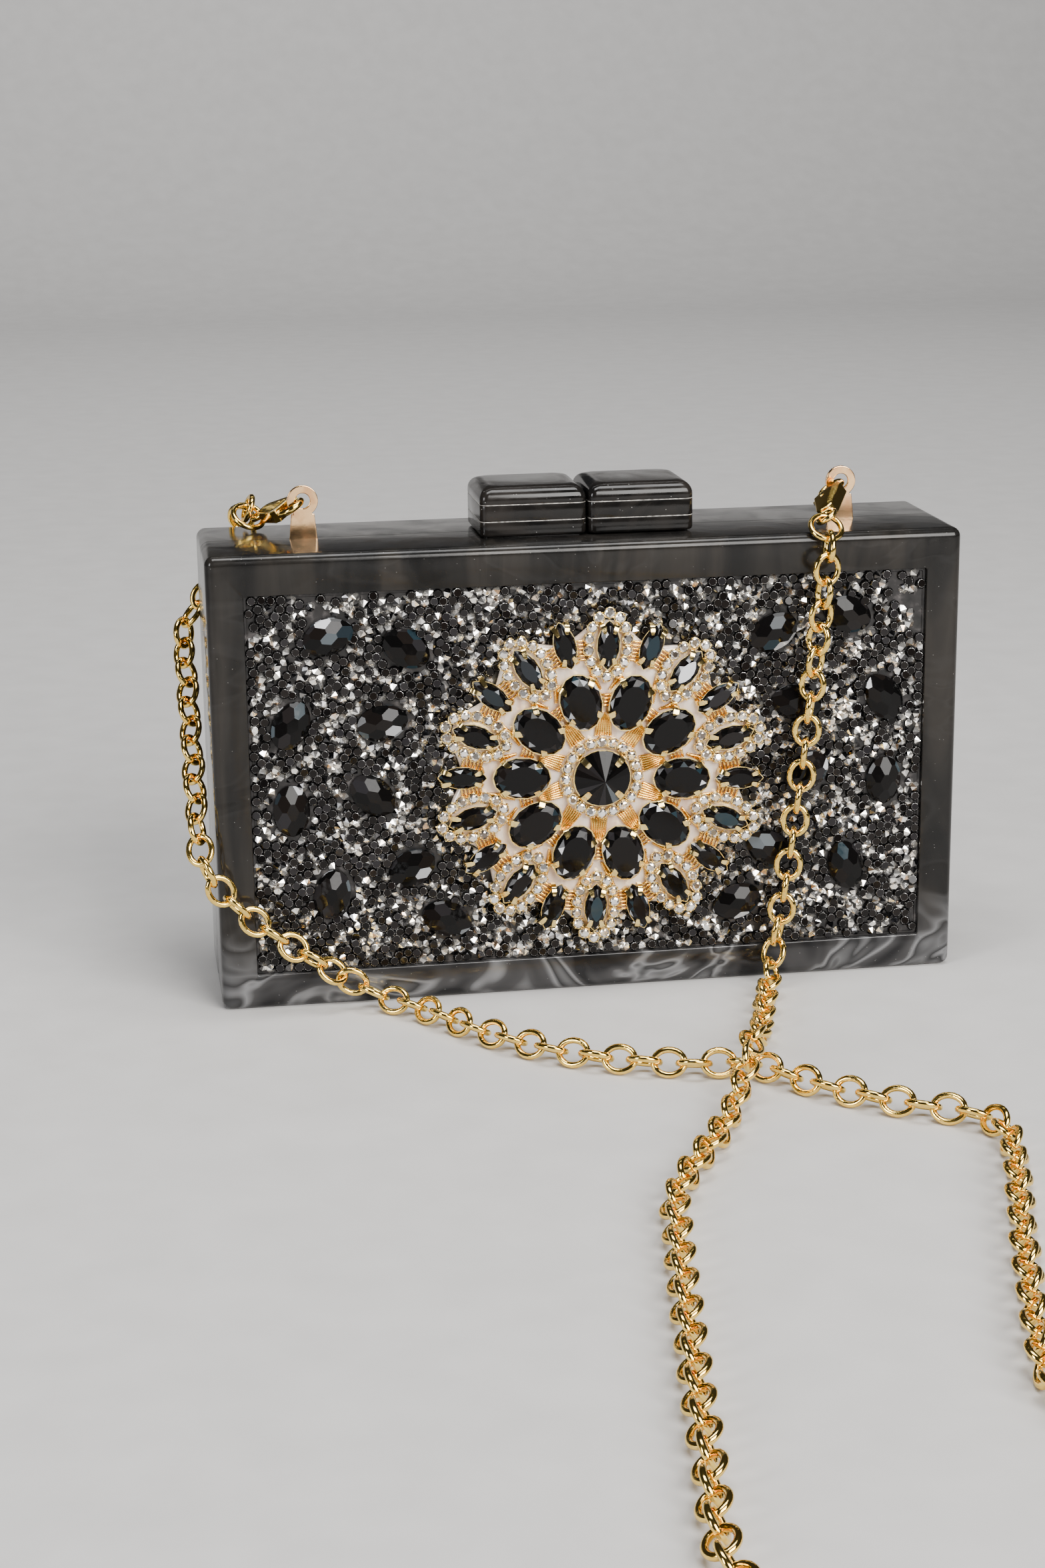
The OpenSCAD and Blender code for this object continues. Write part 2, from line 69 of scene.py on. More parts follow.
EDGE_R = 2.5
WALL = 3.0
FRONT_LO, FRONT_HI = box_mm("front_frame")
BACK_LO, BACK_HI = box_mm("back_shell")
CASE_W = FRONT_HI[0] - FRONT_LO[0]
CASE_H = FRONT_HI[2] - FRONT_LO[2]
CASE_MIDDLE = (0.0, CASE_H / 2)
SEAM_Y = (FRONT_HI[1] + BACK_LO[1]) / 2
FACE_Y = FRONT_LO[1]
WINDOW_W, WINDOW_H, WINDOW_Z = 181.0, 102.0, 60.5
HINGE_RELIEF = 2.6
TAB_HI = box_mm("left_tab")[1]
TAB_W = 7.4

# ------------------------------------------------------------------ camera

CAMERA_PLACE = (-0.1264, -0.7013, 0.2452)
CAMERA_YAW = 0.1565
CAMERA_PITCH = 0.2647
CAMERA_ROLL = -0.0123
CAMERA_LENS = 62.1


def make_camera():
    """Camera at the viewpoint, looking along yaw and down by pitch."""
    data = bpy.data.cameras.new("camera")
    data.lens = CAMERA_LENS
    data.sensor_width = 36
    data.clip_start = 0.01
    data.clip_end = 60
    cam = bpy.data.objects.new("camera", data)
    bpy.context.scene.collection.objects.link(cam)
    cos_p, sin_p = math.cos(CAMERA_PITCH), math.sin(CAMERA_PITCH)
    ahead = Vector((math.sin(CAMERA_YAW) * cos_p, math.cos(CAMERA_YAW) * cos_p, -sin_p))
    right = Vector((math.cos(CAMERA_YAW), -math.sin(CAMERA_YAW), 0))
    up = right.cross(ahead)
    cos_r, sin_r = math.cos(CAMERA_ROLL), math.sin(CAMERA_ROLL)
    turned_right = right * cos_r + up * sin_r
    turned_up = up * cos_r - right * sin_r
    axes = Matrix((turned_right, turned_up, -ahead)).transposed()
    cam.matrix_world = Matrix.Translation(CAMERA_PLACE) @ axes.to_4x4()
    bpy.context.scene.camera = cam


make_camera()

# ------------------------------------------------------------------ materials


def new_material(name, color, roughness, metallic=0.0, coat=0.0):
    """Principled material; returns it with its shader node."""
    mat = bpy.data.materials.new(name)
    mat.use_nodes = True
    shader = mat.node_tree.nodes["Principled BSDF"]
    shader.inputs["Base Color"].default_value = (*color, 1)
    shader.inputs["Roughness"].default_value = roughness
    shader.inputs["Metallic"].default_value = metallic
    shader.inputs["Coat Weight"].default_value = coat
    shader.inputs["Coat Roughness"].default_value = 0.03
    mat.diffuse_color = (*color, 1)
    return mat, shader


def node(mat, kind, **values):
    """A new node; values set its attributes, or its input sockets where there is no attribute."""
    made = mat.node_tree.nodes.new("ShaderNode" + kind)
    for key, value in values.items():
        if hasattr(made, key):
            setattr(made, key, value)
        else:
            made.inputs[key.replace("_", " ").title()].default_value = value
    return made


def link(mat, source, target):
    mat.node_tree.links.new(source, target)


def coordinates(mat, scale=(1, 1, 1)):
    """Object coordinates, which are the frame's own metres, scaled per axis."""
    place = node(mat, "TexCoord")
    mapping = node(mat, "Mapping")
    mapping.inputs["Scale"].default_value = scale
    link(mat, place.outputs["Object"], mapping.inputs["Vector"])
    return mapping.outputs["Vector"]


def noise(mat, vector, scale, detail=3.0, distortion=0.0):
    made = node(mat, "TexNoise", scale=scale, detail=detail, distortion=distortion)
    link(mat, vector, made.inputs["Vector"])
    return made.outputs["Fac"]


def ramp(mat, factor, stops):
    """Colour ramp; each stop is (position, colour)."""
    made = node(mat, "ValToRGB")
    elements = made.color_ramp.elements
    while len(elements) < len(stops):
        elements.new(0.5)
    for element, (position, color) in zip(elements, stops):
        element.position = position
        element.color = (*color, 1)
    link(mat, factor, made.inputs["Fac"])
    return made.outputs["Color"]


def spread(mat, factor, low, high, start=0.3, end=0.7):
    """Maps a factor between start and end onto a value between low and high."""
    made = node(mat, "MapRange")
    for key, value in (("From Min", start), ("From Max", end), ("To Min", low), ("To Max", high)):
        made.inputs[key].default_value = value
    link(mat, factor, made.inputs["Value"])
    return made.outputs["Result"]


def bump(mat, shader, height, strength, distance):
    made = node(mat, "Bump")
    made.inputs["Strength"].default_value = strength
    made.inputs["Distance"].default_value = distance
    link(mat, height, made.inputs["Height"])
    link(mat, made.outputs["Normal"], shader.inputs["Normal"])


def tint(mat):
    """The random number that each face of a stone mesh carries."""
    return node(mat, "Attribute", attribute_name="tint").outputs["Fac"]


def mix_color(mat, factor, first, second, blend="MIX"):
    made = node(mat, "Mix", data_type="RGBA", blend_type=blend)
    link(mat, factor, made.inputs[0])
    for value, socket in ((first, made.inputs[6]), (second, made.inputs[7])):
        if isinstance(value, tuple):
            socket.default_value = (*value, 1)
        else:
            link(mat, value, socket)
    return made.outputs[2]


def dust_mask(mat, scale=520.0, amount=0.034):
    """1 in small specks of dust, 0 elsewhere."""
    cells = node(mat, "TexVoronoi", scale=scale)
    link(mat, coordinates(mat), cells.inputs["Vector"])
    return spread(mat, cells.outputs["Distance"], 1.0, 0.0, amount, amount * 1.6)


def marbled_acrylic():
    """Smoky warm black acrylic with soft silver waves, brightest near the base."""
    mat, shader = new_material("marbled_acrylic", (0.03, 0.03, 0.031), 0.14)
    shader.inputs["Specular IOR Level"].default_value = 0.3
    streaks = noise(mat, coordinates(mat, (62, 62, 9)), 1.0, 4.0, 1.2)
    folds = noise(mat, coordinates(mat, (24, 24, 40)), 1.0, 2.0, 2.0)
    smoke = ramp(mat, streaks, [
        (0.30, (0.004, 0.004, 0.004)), (0.45, (0.012, 0.011, 0.010)), (0.58, (0.024, 0.021, 0.018)),
        (0.70, (0.009, 0.009, 0.008)), (0.85, (0.030, 0.028, 0.026))])
    silver = ramp(mat, folds, [
        (0.36, (0.008, 0.008, 0.009)), (0.47, (0.050, 0.049, 0.050)), (0.52, (0.20, 0.20, 0.205)),
        (0.56, (0.030, 0.030, 0.031)), (0.64, (0.13, 0.13, 0.133)), (0.72, (0.012, 0.012, 0.013))])
    height = node(mat, "SeparateXYZ")
    link(mat, coordinates(mat), height.inputs["Vector"])
    low_part = spread(mat, height.outputs["Z"], 0.9, 0.03, 0.007, 0.022)
    body = mix_color(mat, low_part, smoke, silver)
    dust = dust_mask(mat)
    link(mat, mix_color(mat, dust, body, (0.26, 0.25, 0.24)), shader.inputs["Base Color"])
    link(mat, spread(mat, streaks, 0.22, 0.09), shader.inputs["Roughness"])
    link(mat, spread(mat, folds, 0.05, 0.40), shader.inputs["Metallic"])
    bump(mat, shader, streaks, 0.04, 0.001)
    return mat


def block_acrylic():
    """Polished black acrylic with faint smoke and dust."""
    mat, shader = new_material("block_acrylic", (0.012, 0.012, 0.013), 0.10)
    shader.inputs["Specular IOR Level"].default_value = 0.3
    smoke = noise(mat, coordinates(mat, (50, 50, 90)), 1.0, 5.0, 1.5)
    tone = ramp(mat, smoke, [(0.35, (0.004, 0.004, 0.004)), (0.7, (0.018, 0.015, 0.013))])
    dust = dust_mask(mat, 560.0, 0.045)
    link(mat, mix_color(mat, dust, tone, (0.34, 0.33, 0.32)), shader.inputs["Base Color"])
    link(mat, spread(mat, smoke, 0.06, 0.24), shader.inputs["Roughness"])
    bump(mat, shader, smoke, 0.03, 0.0008)
    return mat


def patterned(name, color, roughness, place, stops, polish, relief=None, **kind):
    """Material whose colour and polish follow one noise; place is its scale per axis and its settings."""
    mat, shader = new_material(name, color, roughness, **kind)
    pattern = noise(mat, coordinates(mat, place[0]), *place[1:])
    link(mat, ramp(mat, pattern, stops), shader.inputs["Base Color"])
    link(mat, spread(mat, pattern, *polish), shader.inputs["Roughness"])
    if relief:
        bump(mat, shader, pattern, *relief)
    return mat


def crystal(name, color, roughness, tones_and_painted_light, polish, grain, **kind):
    """Cut glass: each facet has a tone of its own, among them painted glints and painted shade, and fine
    marks in its polish.
    """
    mat, shader = new_material(name, color, roughness, **kind)
    link(mat, ramp(mat, tint(mat), tones_and_painted_light), shader.inputs["Base Color"])
    link(mat, spread(mat, noise(mat, coordinates(mat), grain), *polish), shader.inputs["Roughness"])
    return mat


def jet_glass():
    """Near black glass, some facets with a brown or blue cast, and a few painted near white as glints."""
    mat = crystal("black_crystal", (0.006, 0.006, 0.007), 0.045, [
        (0.0, (0.002, 0.002, 0.002)), (0.50, (0.004, 0.0035, 0.0035)), (0.72, (0.009, 0.007, 0.006)),
        (0.88, (0.020, 0.019, 0.021)), (0.94, (0.010, 0.024, 0.032)), (1.0, (0.70, 0.71, 0.74))],
        (0.03, 0.11), 900.0)
    shader = mat.node_tree.nodes["Principled BSDF"]
    shader.inputs["IOR"].default_value = 1.52
    shader.inputs["Specular IOR Level"].default_value = 0.16
    return mat


def gold(name, color, dark, low, high, scale=700.0):
    """Gold plate: tone and polish vary a little over the surface."""
    mat, shader = new_material(name, color, low, metallic=1.0)
    wear = noise(mat, coordinates(mat), scale, 4.0)
    link(mat, ramp(mat, wear, [(0.30, dark), (0.55, color), (0.85, color)]), shader.inputs["Base Color"])
    link(mat, spread(mat, wear, high, low), shader.inputs["Roughness"])
    bump(mat, shader, noise(mat, coordinates(mat), scale * 2.5), 0.06, 0.0002)
    return mat


def flock():
    """Short dark flock."""
    mat, shader = new_material("flock", (0.035, 0.026, 0.030), 0.95)
    shader.inputs["Sheen Weight"].default_value = 0.6
    shader.inputs["Sheen Roughness"].default_value = 0.4
    nap = noise(mat, coordinates(mat), 2200.0, 2.0)
    patches = noise(mat, coordinates(mat), 40.0, 3.0)
    link(mat, ramp(mat, patches, [(0.35, (0.022, 0.016, 0.019)), (0.65, (0.050, 0.038, 0.043))]),
         shader.inputs["Base Color"])
    link(mat, spread(mat, patches, 0.85, 1.0), shader.inputs["Roughness"])
    bump(mat, shader, nap, 0.5, 0.0004)
    return mat


ACRYLIC = marbled_acrylic()
BLOCK = block_acrylic()
EVEN = (1, 1, 1)
# Pale line of cement between two laminated layers
GLUE = patterned("glue_line", (0.55, 0.50, 0.45), 0.30, (EVEN, 900.0),
                 [(0.35, (0.22, 0.20, 0.18)), (0.65, (0.80, 0.76, 0.70))], (0.2, 0.5))
JET = jet_glass()
# Foiled pointed stones: near black and grey facets are painted shade, white and cream ones painted glints,
# with some tan
SILVER = crystal("silver_crystal", (0.8, 0.79, 0.78), 0.12, [
    (0.0, (0.012, 0.012, 0.014)), (0.18, (0.09, 0.085, 0.085)), (0.32, (0.70, 0.68, 0.66)),
    (0.44, (1.0, 0.99, 0.96)), (0.84, (1.0, 0.94, 0.84)), (1.0, (0.66, 0.42, 0.24))],
    (0.06, 0.18), 1500.0, metallic=0.9, coat=1.0)
# Clear rhinestones over foil: dark facets are painted shade and white ones painted sparkle, with some orange
# facets
CLEAR = crystal("clear_crystal", (0.92, 0.90, 0.88), 0.06, [
    (0.0, (0.08, 0.06, 0.05)), (0.22, (0.60, 0.50, 0.40)), (0.45, (0.95, 0.93, 0.90)),
    (0.80, (1.0, 0.99, 0.97)), (1.0, (0.90, 0.66, 0.36))],
    (0.03, 0.12), 1200.0, metallic=0.85, coat=1.0)
# Dark glossy resin with grey patches, which the small stones sit in
RESIN = patterned("board_resin", (0.26, 0.24, 0.24), 0.3, (EVEN, 320.0, 3.0),
                  [(0.30, (0.005, 0.005, 0.005)), (0.55, (0.022, 0.020, 0.020)), (0.78, (0.12, 0.11, 0.108))],
                  (0.5, 0.2), (0.3, 0.0004), metallic=0.2)
CHAIN_GOLD = gold("chain_gold", (1.0, 0.71, 0.19), (0.93, 0.58, 0.10), 0.08, 0.15)
TAB_GOLD = gold("tab_gold", (0.96, 0.62, 0.32), (0.84, 0.46, 0.22), 0.12, 0.22, 300.0)
PALE_GOLD = gold("pale_gold", (1.0, 0.78, 0.32), (0.90, 0.62, 0.20), 0.10, 0.18)
WIRE_GOLD = gold("wire_gold", (0.97, 0.60, 0.15), (0.66, 0.32, 0.05), 0.14, 0.26)
# Painted highlight on the narrow bevel round the table of a black stone, broken into patches by noise
BEVEL_GLINT = patterned("painted_bevel_glint", (0.3, 0.3, 0.31), 0.25, (EVEN, 900.0),
                [(0.40, (0.015, 0.015, 0.015)), (0.62, (0.40, 0.39, 0.38))], (0.4, 0.15), metallic=0.7)
BRASS = gold("brass", (0.78, 0.60, 0.30), (0.62, 0.44, 0.20), 0.20, 0.36, 260.0)
# Cream to peach pearl, glossy, with faint silky streaks
PEARL = patterned("pearl_lacquer", (0.84, 0.72, 0.63), 0.28, ((240, 90, 60), 1.0, 5.0, 1.2),
                  [(0.30, (0.70, 0.52, 0.42)), (0.50, (0.86, 0.72, 0.62)), (0.72, (0.95, 0.89, 0.83))],
                  (0.36, 0.18), (0.15, 0.0006), metallic=0.1, coat=1.0)
FLOCK = flock()
STEEL = patterned("bright_steel", (0.62, 0.62, 0.64), 0.2, ((400, 3000, 3000), 1.0),
                  [(0.3, (0.48, 0.48, 0.50)), (0.7, (0.72, 0.72, 0.74))], (0.14, 0.3), metallic=1.0)
CARD = patterned("black_card", (0.02, 0.02, 0.02), 0.8, (EVEN, 800.0, 4.0),
                 [(0.3, (0.012, 0.012, 0.012)), (0.7, (0.03, 0.03, 0.03))], (0.7, 0.95), (0.3, 0.0003))

# ------------------------------------------------------------------ mesh helpers


class Soup:
    """Vertices, in millimetres, and faces of many small shapes that become one mesh."""

    def __init__(self):
        self.verts = []
        self.faces = []
        self.tints = []
        self.slots = []
        self.count = 0

    def add(self, verts, faces, tints=0.3, slot=0):
        """Adds one shape. tints and slot are one number each, or one for each face."""
        self.verts.append(np.asarray(verts, float))
        self.faces += [tuple(i + self.count for i in face) for face in faces]
        self.tints += [tints] * len(faces) if np.isscalar(tints) else list(tints)
        self.slots += [slot] * len(faces) if np.isscalar(slot) else list(slot)
        self.count += len(verts)

    def build(self, name, materials, slot, body=FRONT, replaces=(), sharp=None):
        """Makes the mesh object, which rides on a body and stands for CAD nodes."""
        mesh = bpy.data.meshes.new(name)
        mesh.from_pydata((np.concatenate(self.verts) * MM).tolist(), [], self.faces)
        for material in materials:
            mesh.materials.append(material)
        mesh.polygons.foreach_set("material_index", self.slots)
        mesh.attributes.new("tint", "FLOAT", "FACE").data.foreach_set("value", self.tints)
        if sharp is not None:
            mesh.polygons.foreach_set("use_smooth", [True] * len(mesh.polygons))
            mesh.set_sharp_from_angle(angle=math.radians(sharp))
        mesh.update()
        return place_piece(bpy.data.objects.new(name, mesh), body, replaces)


def place_piece(piece, body, replaces=()):
    """Links a piece and tells the frame what it rides on and stands for."""
    if piece.name not in bpy.context.scene.collection.objects:
        bpy.context.scene.collection.objects.link(piece)
    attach(piece, body)
    if replaces:
        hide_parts(*replaces)
    return piece


def loft(rings, cap_start=True, cap_end=True, closed=False):
    """Vertices and faces that join equal rings of points one after another."""
    n = len(rings[0])
    faces = []
    last = len(rings) if closed else len(rings) - 1
    for r in range(last):
        a, b = r * n, (r + 1) % len(rings) * n
        faces += [(a + i, a + (i + 1) % n, b + (i + 1) % n, b + i) for i in range(n)]
    if cap_start and not closed:
        faces.append(tuple(reversed(range(n))))
    if cap_end and not closed:
        faces.append(tuple((len(rings) - 1) * n + i for i in range(n)))
    return np.concatenate([np.asarray(r, float) for r in rings]), faces


def rounded_rect(w, h, r, steps=7):
    """Outline of a rectangle with round corners, anticlockwise, centred on the origin."""
    points = []
    for corner in range(4):
        cx = w / 2 - r if corner in (0, 3) else r - w / 2
        cy = h / 2 - r if corner < 2 else r - h / 2
        for i in range(steps + 1):
            a = math.radians(90 * corner + 90 * i / steps)
            points.append((cx + r * math.cos(a), cy + r * math.sin(a)))
    return np.array(points)


def upright(outline, y, centre):
    """Puts a flat outline in the plane at y, facing the front, round centre (x, z)."""
    return np.column_stack([outline[:, 0] + centre[0], np.full(len(outline), y), outline[:, 1] + centre[1]])


def level(outline, z, centre):
    """Puts a flat outline in the level plane at z, round centre (x, y)."""
    return np.column_stack([outline[:, 0] + centre[0], outline[:, 1] + centre[1], np.full(len(outline), z)])


def on_front(verts, x, z, angle, y):
    """Places a shape modelled with +Z outwards on the front: u along angle, w towards -Y from y."""
    c, s = math.cos(math.radians(angle)), math.sin(math.radians(angle))
    v = np.asarray(verts, float)
    return np.column_stack([x + v[:, 0] * c - v[:, 1] * s, y - v[:, 2], z + v[:, 0] * s + v[:, 1] * c])


def tilted(verts, a, b):
    """Tilts a shape by small angles a about X and b about Y, in degrees."""
    turn = Matrix.Rotation(math.radians(a), 3, "X") @ Matrix.Rotation(math.radians(b), 3, "Y")
    return np.asarray(verts) @ np.array(turn).T


def spline(points, step=0.5):
    """Points about step apart on a smooth curve through the given points."""
    p = np.asarray(points, float)
    p = np.vstack([2 * p[0] - p[1], p, 2 * p[-1] - p[-2]])
    out = []
    for i in range(1, len(p) - 2):
        n = max(2, int(np.linalg.norm(p[i + 1] - p[i]) / step))
        t = np.linspace(0, 1, n, endpoint=False)[:, None]
        out.append(0.5 * (2 * p[i] + (p[i + 1] - p[i - 1]) * t
                          + (2 * p[i - 1] - 5 * p[i] + 4 * p[i + 1] - p[i + 2]) * t ** 2
                          + (3 * p[i] - p[i - 1] - 3 * p[i + 1] + p[i + 2]) * t ** 3))
    out.append(p[-2:-1])
    return np.vstack(out)


def tube(points, radius, sides=8, closed=False):
    """Round tube along points; radius is one number or one for each point."""
    p = np.asarray(points, float)
    along = np.roll(p, -1, 0) - np.roll(p, 1, 0) if closed else np.gradient(p, axis=0)
    along /= np.linalg.norm(along, axis=1)[:, None]
    radii = np.broadcast_to(np.asarray(radius, float), (len(p),))
    side = np.cross(along[0], (0, 0, 1) if abs(along[0][2]) < 0.9 else (1, 0, 0))
    rings = []
    for centre, t, r in zip(p, along, radii):
        side = side - t * side.dot(t)
        side /= np.linalg.norm(side)
        other = np.cross(t, side)
        angles = np.arange(sides) * 2 * math.pi / sides
        rings.append(centre + r * (np.outer(np.cos(angles), side) + np.outer(np.sin(angles), other)))
    return loft(rings, closed=closed)


# ------------------------------------------------------------------ chain

LINK_LENGTH = 9.5
LINK_WIDTH = 8.0
LINK_WIRE = 1.65
RING_WIRE = 1.5
FLOOR_Z = 3.7
NEAR_FLOOR = 8
TURN_IN_LINKS = 8
FLOOR_TWIST = 15
HANGING_TWIST = 27
RING_R = 4.15

# Route of the chain's middle line in metres, the same points as in the CAD model
ROUTE = [
    (-0.085, 0.021, 0.128), (-0.086, 0.026, 0.1265), (-0.0875, 0.0305, 0.1235), (-0.089, 0.032, 0.117),
    (-0.093, 0.032, 0.108), (-0.100, 0.0315, 0.100), (-0.1045, 0.027, 0.093),
    (-0.1045, 0.020, 0.085), (-0.1045, 0.010, 0.075), (-0.1045, -0.002, 0.064), (-0.1045, -0.012, 0.055),
    (-0.1045, -0.020, 0.047), (-0.102, -0.025, 0.039), (-0.094, -0.0252, 0.029), (-0.083, -0.0252, 0.020),
    (-0.072, -0.0252, 0.012), (-0.062, -0.026, 0.006), (-0.053, -0.032, 0.0031), (-0.045, -0.043, 0.0031),
    (-0.035, -0.058, 0.0031), (-0.022, -0.072, 0.0031), (-0.006, -0.083, 0.0031), (0.011, -0.0895, 0.0031),
    (0.026, -0.093, 0.0031), (0.038, -0.108, 0.0031), (0.052, -0.1215, 0.0031), (0.066, -0.131, 0.0031),
    (0.0725, -0.138, 0.0031), (0.073, -0.148, 0.0031), (0.069, -0.165, 0.0031), (0.061, -0.191, 0.0031),
    (0.053, -0.218, 0.0031), (0.046, -0.243, 0.0031), (0.042, -0.262, 0.0031),
    (0.045, -0.282, 0.0031), (0.048, -0.302, 0.0031), (0.046, -0.322, 0.0031), (0.038, -0.341, 0.0031),
    (0.022, -0.353, 0.0031), (0.003, -0.356, 0.0031), (-0.015, -0.350, 0.0031), (-0.027, -0.336, 0.0031),
    (-0.032, -0.318, 0.0031),
    (-0.0315, -0.302, 0.0031), (-0.028, -0.280, 0.0031), (-0.0245, -0.256, 0.0031), (-0.0205, -0.231, 0.0031),
    (-0.0165, -0.206, 0.0031), (-0.0125, -0.183, 0.0031), (-0.0095, -0.168, 0.0031),
    (-0.003, -0.1535, 0.0031),
    (0.0085, -0.133, 0.0031), (0.018, -0.113, 0.0055), (0.026, -0.093, 0.0098), (0.032, -0.076, 0.0055),
    (0.037, -0.060, 0.0031), (0.0425, -0.042, 0.0031), (0.0465, -0.031, 0.005), (0.0485, -0.026, 0.010),
    (0.0505, -0.0252, 0.020), (0.053, -0.0252, 0.038), (0.0555, -0.0252, 0.057), (0.0575, -0.0252, 0.076),
    (0.0595, -0.0252, 0.094), (0.0615, -0.0252, 0.112), (0.0625, -0.0245, 0.1175)
]


class Ring:
    """A jump ring: its centre and the turn of its plane, as in the CAD model."""

    def __init__(self, centre, tilt, turn):
        self.centre = np.array(centre)
        self.axes = np.array(Matrix.Rotation(math.radians(turn), 3, "Z")
                             @ Matrix.Rotation(math.radians(tilt), 3, "X"))
        self.normal = self.axes[:, 2]

    def towards(self, point):
        """Point of the ring's wire that lies nearest to the direction of point."""
        d = np.asarray(point) - self.centre
        d = d - self.normal * d.dot(self.normal)
        return self.centre + RING_R * d / np.linalg.norm(d)

    def wire(self, gap=0.05, steps=64):
        """Middle line of the wire, open by a hair where the ring was closed."""
        a = np.linspace(gap, 2 * math.pi - gap, steps) + 1.2
        flat = np.column_stack([np.cos(a), np.sin(a), np.zeros(steps)]) * RING_R
        return self.centre + flat @ self.axes.T


LEFT_RING = Ring((-86.1, 19.8, 125.7), 39, 28)
RIGHT_RING = Ring((63, -18.7, 123.3), 39, 8)


def chain_path():
    """Smooth middle line of the chain from ring to ring, never lower than a turned link can lie."""
    route = np.array(ROUTE) / MM
    points = np.vstack([LEFT_RING.towards(route[1]), route[1:], RIGHT_RING.towards(route[-1])])
    path = spline(points)
    path[:, 2] = np.maximum(path[:, 2], FLOOR_Z)
    return path


def resting_normals(path):
    """Direction away from whatever the chain lies against, smoothed along the path."""
    case_lo, case_hi = box_mm("front_frame")
    back = box_mm("back_shell")[1][1]
    normals = np.zeros_like(path)
    for i, (x, y, z) in enumerate(path):
        if z < NEAR_FLOOR:
            normals[i, 2] = 1
        elif y < case_lo[1]:
            normals[i, 1] = -1
        elif x < case_lo[0]:
            normals[i, 0] = -1
        elif y > back:
            normals[i, 1] = 1
        else:
            normals[i, 2] = 1
    kernel = np.ones(31) / 31
    padded = np.pad(normals, ((15, 15), (0, 0)), mode="edge")
    return np.column_stack([np.convolve(padded[:, k], kernel, mode="valid") for k in range(3)])


def link_shape(around=22, sides=8):
    """One oval link, its length along X and its width along Y."""
    a, b, r = (LINK_LENGTH - LINK_WIRE) / 2, (LINK_WIDTH - LINK_WIRE) / 2, LINK_WIRE / 2
    t = np.arange(around) * 2 * math.pi / around
    centre = np.column_stack([a * np.cos(t), b * np.sin(t), 0 * t])
    return tube(centre, r, sides, closed=True)


def link_frames(path):
    """Place and axes of every link: alternate links stand a quarter turn apart, and twist as they hang."""
    steps = np.linalg.norm(np.diff(path, axis=0), axis=1)
    along = np.concatenate([[0], np.cumsum(steps)])
    end_gap = LINK_LENGTH / 2 - 1.5 * LINK_WIRE
    pitch = LINK_LENGTH - 2 * LINK_WIRE
    count = int(round((along[-1] - 2 * end_gap) / pitch)) + 1
    places = np.linspace(end_gap, along[-1] - end_gap, count)
    normals = resting_normals(path)

    def at(values, s):
        return np.array([np.interp(s, along, values[:, k]) for k in range(3)])

    frames = []
    for k, s in enumerate(places):
        t = at(path, s + 2.5) - at(path, s - 2.5)
        t /= np.linalg.norm(t)
        n = at(normals, s)
        n -= t * n.dot(t)
        n /= np.linalg.norm(n)
        frames.append((at(path, s), t, n, np.cross(t, n)))
    angles = np.where(np.arange(count) % 2 == 0, 45.0, -45.0) + RNG.uniform(-4, 4, count)
    heights = np.array([p[2] for p, _, _, _ in frames])
    in_front = np.array([p[1] < FACE_Y + 1 for p, _, _, _ in frames])
    hanging = np.clip((heights - NEAR_FLOOR) / 14, 0, 1) * in_front
    angles += FLOOR_TWIST * (heights < NEAR_FLOOR) + HANGING_TWIST * hanging
    for ring, first, step in ((LEFT_RING, 0, 1), (RIGHT_RING, count - 1, -1)):
        _, _, n, b = frames[first]
        wanted = math.degrees(math.atan2(ring.normal.dot(b), ring.normal.dot(n)))
        offset = (wanted - angles[first] + 90) % 180 - 90
        for j in range(TURN_IN_LINKS):
            angles[first + step * j] += offset * (1 - j / TURN_IN_LINKS)
    out = []
    for (p, t, n, b), angle in zip(frames, np.radians(angles)):
        across = math.cos(angle) * n + math.sin(angle) * b
        out.append((p, np.column_stack([t, across, np.cross(t, across)])))
    return out, along[-1]


def make_chain():
    """The shoulder chain, as one mesh of linked ovals."""
    path = chain_path()
    frames, length = link_frames(path)
    shape, faces = link_shape()
    soup = Soup()
    for place, axes in frames:
        soup.add(place + shape @ axes.T, faces)
    chain = soup.build("shoulder_chain", [CHAIN_GOLD], "gilt_chain", sharp=60,
                       replaces=("chain_behind", "chain_left", "chain_loop", "chain_right"))


def make_jump_ring(name, ring):
    soup = Soup()
    soup.add(*tube(ring.wire(), RING_WIRE / 2, 14))
    soup.build(name + "_wire", [CHAIN_GOLD], "gilt_casting", replaces=(name,), sharp=40)


make_chain()
make_jump_ring("left_jump_ring", LEFT_RING)
make_jump_ring("right_jump_ring", RIGHT_RING)

# ------------------------------------------------------------------ case halves

def shell_rings(y_rim, y_face, window):
    """Rings of a half shell from its rim round the outside, through the face, and back inside."""
    inward = 1 if y_rim > y_face else -1
    rings = [upright(rounded_rect(CASE_W, CASE_H, EDGE_R), y_rim, CASE_MIDDLE)]
    for a in np.linspace(0, math.pi / 2, 9):
        inset = EDGE_R * (1 - math.cos(a))
        y = y_face + inward * EDGE_R * (1 - math.sin(a))
        outline = rounded_rect(CASE_W - 2 * inset, CASE_H - 2 * inset, max(0.7, EDGE_R - inset))
        rings.append(upright(outline, y, CASE_MIDDLE))
    inner = y_face + inward * WALL
    if window:
        middle = (0.0, WINDOW_Z)
        for grow, y in ((0.7, y_face), (0.2, y_face + 0.12), (0.0, y_face + 0.45), (0.0, inner)):
            outline = rounded_rect(WINDOW_W + grow, WINDOW_H + grow, 0.5 + grow / 2)
            rings.append(upright(outline, y, middle))
    hollow = rounded_rect(CASE_W - 2 * WALL, CASE_H - 2 * WALL, 1.0)
    inside = [upright(hollow, inner, CASE_MIDDLE), upright(hollow, y_rim, CASE_MIDDLE)]
    return rings, inside


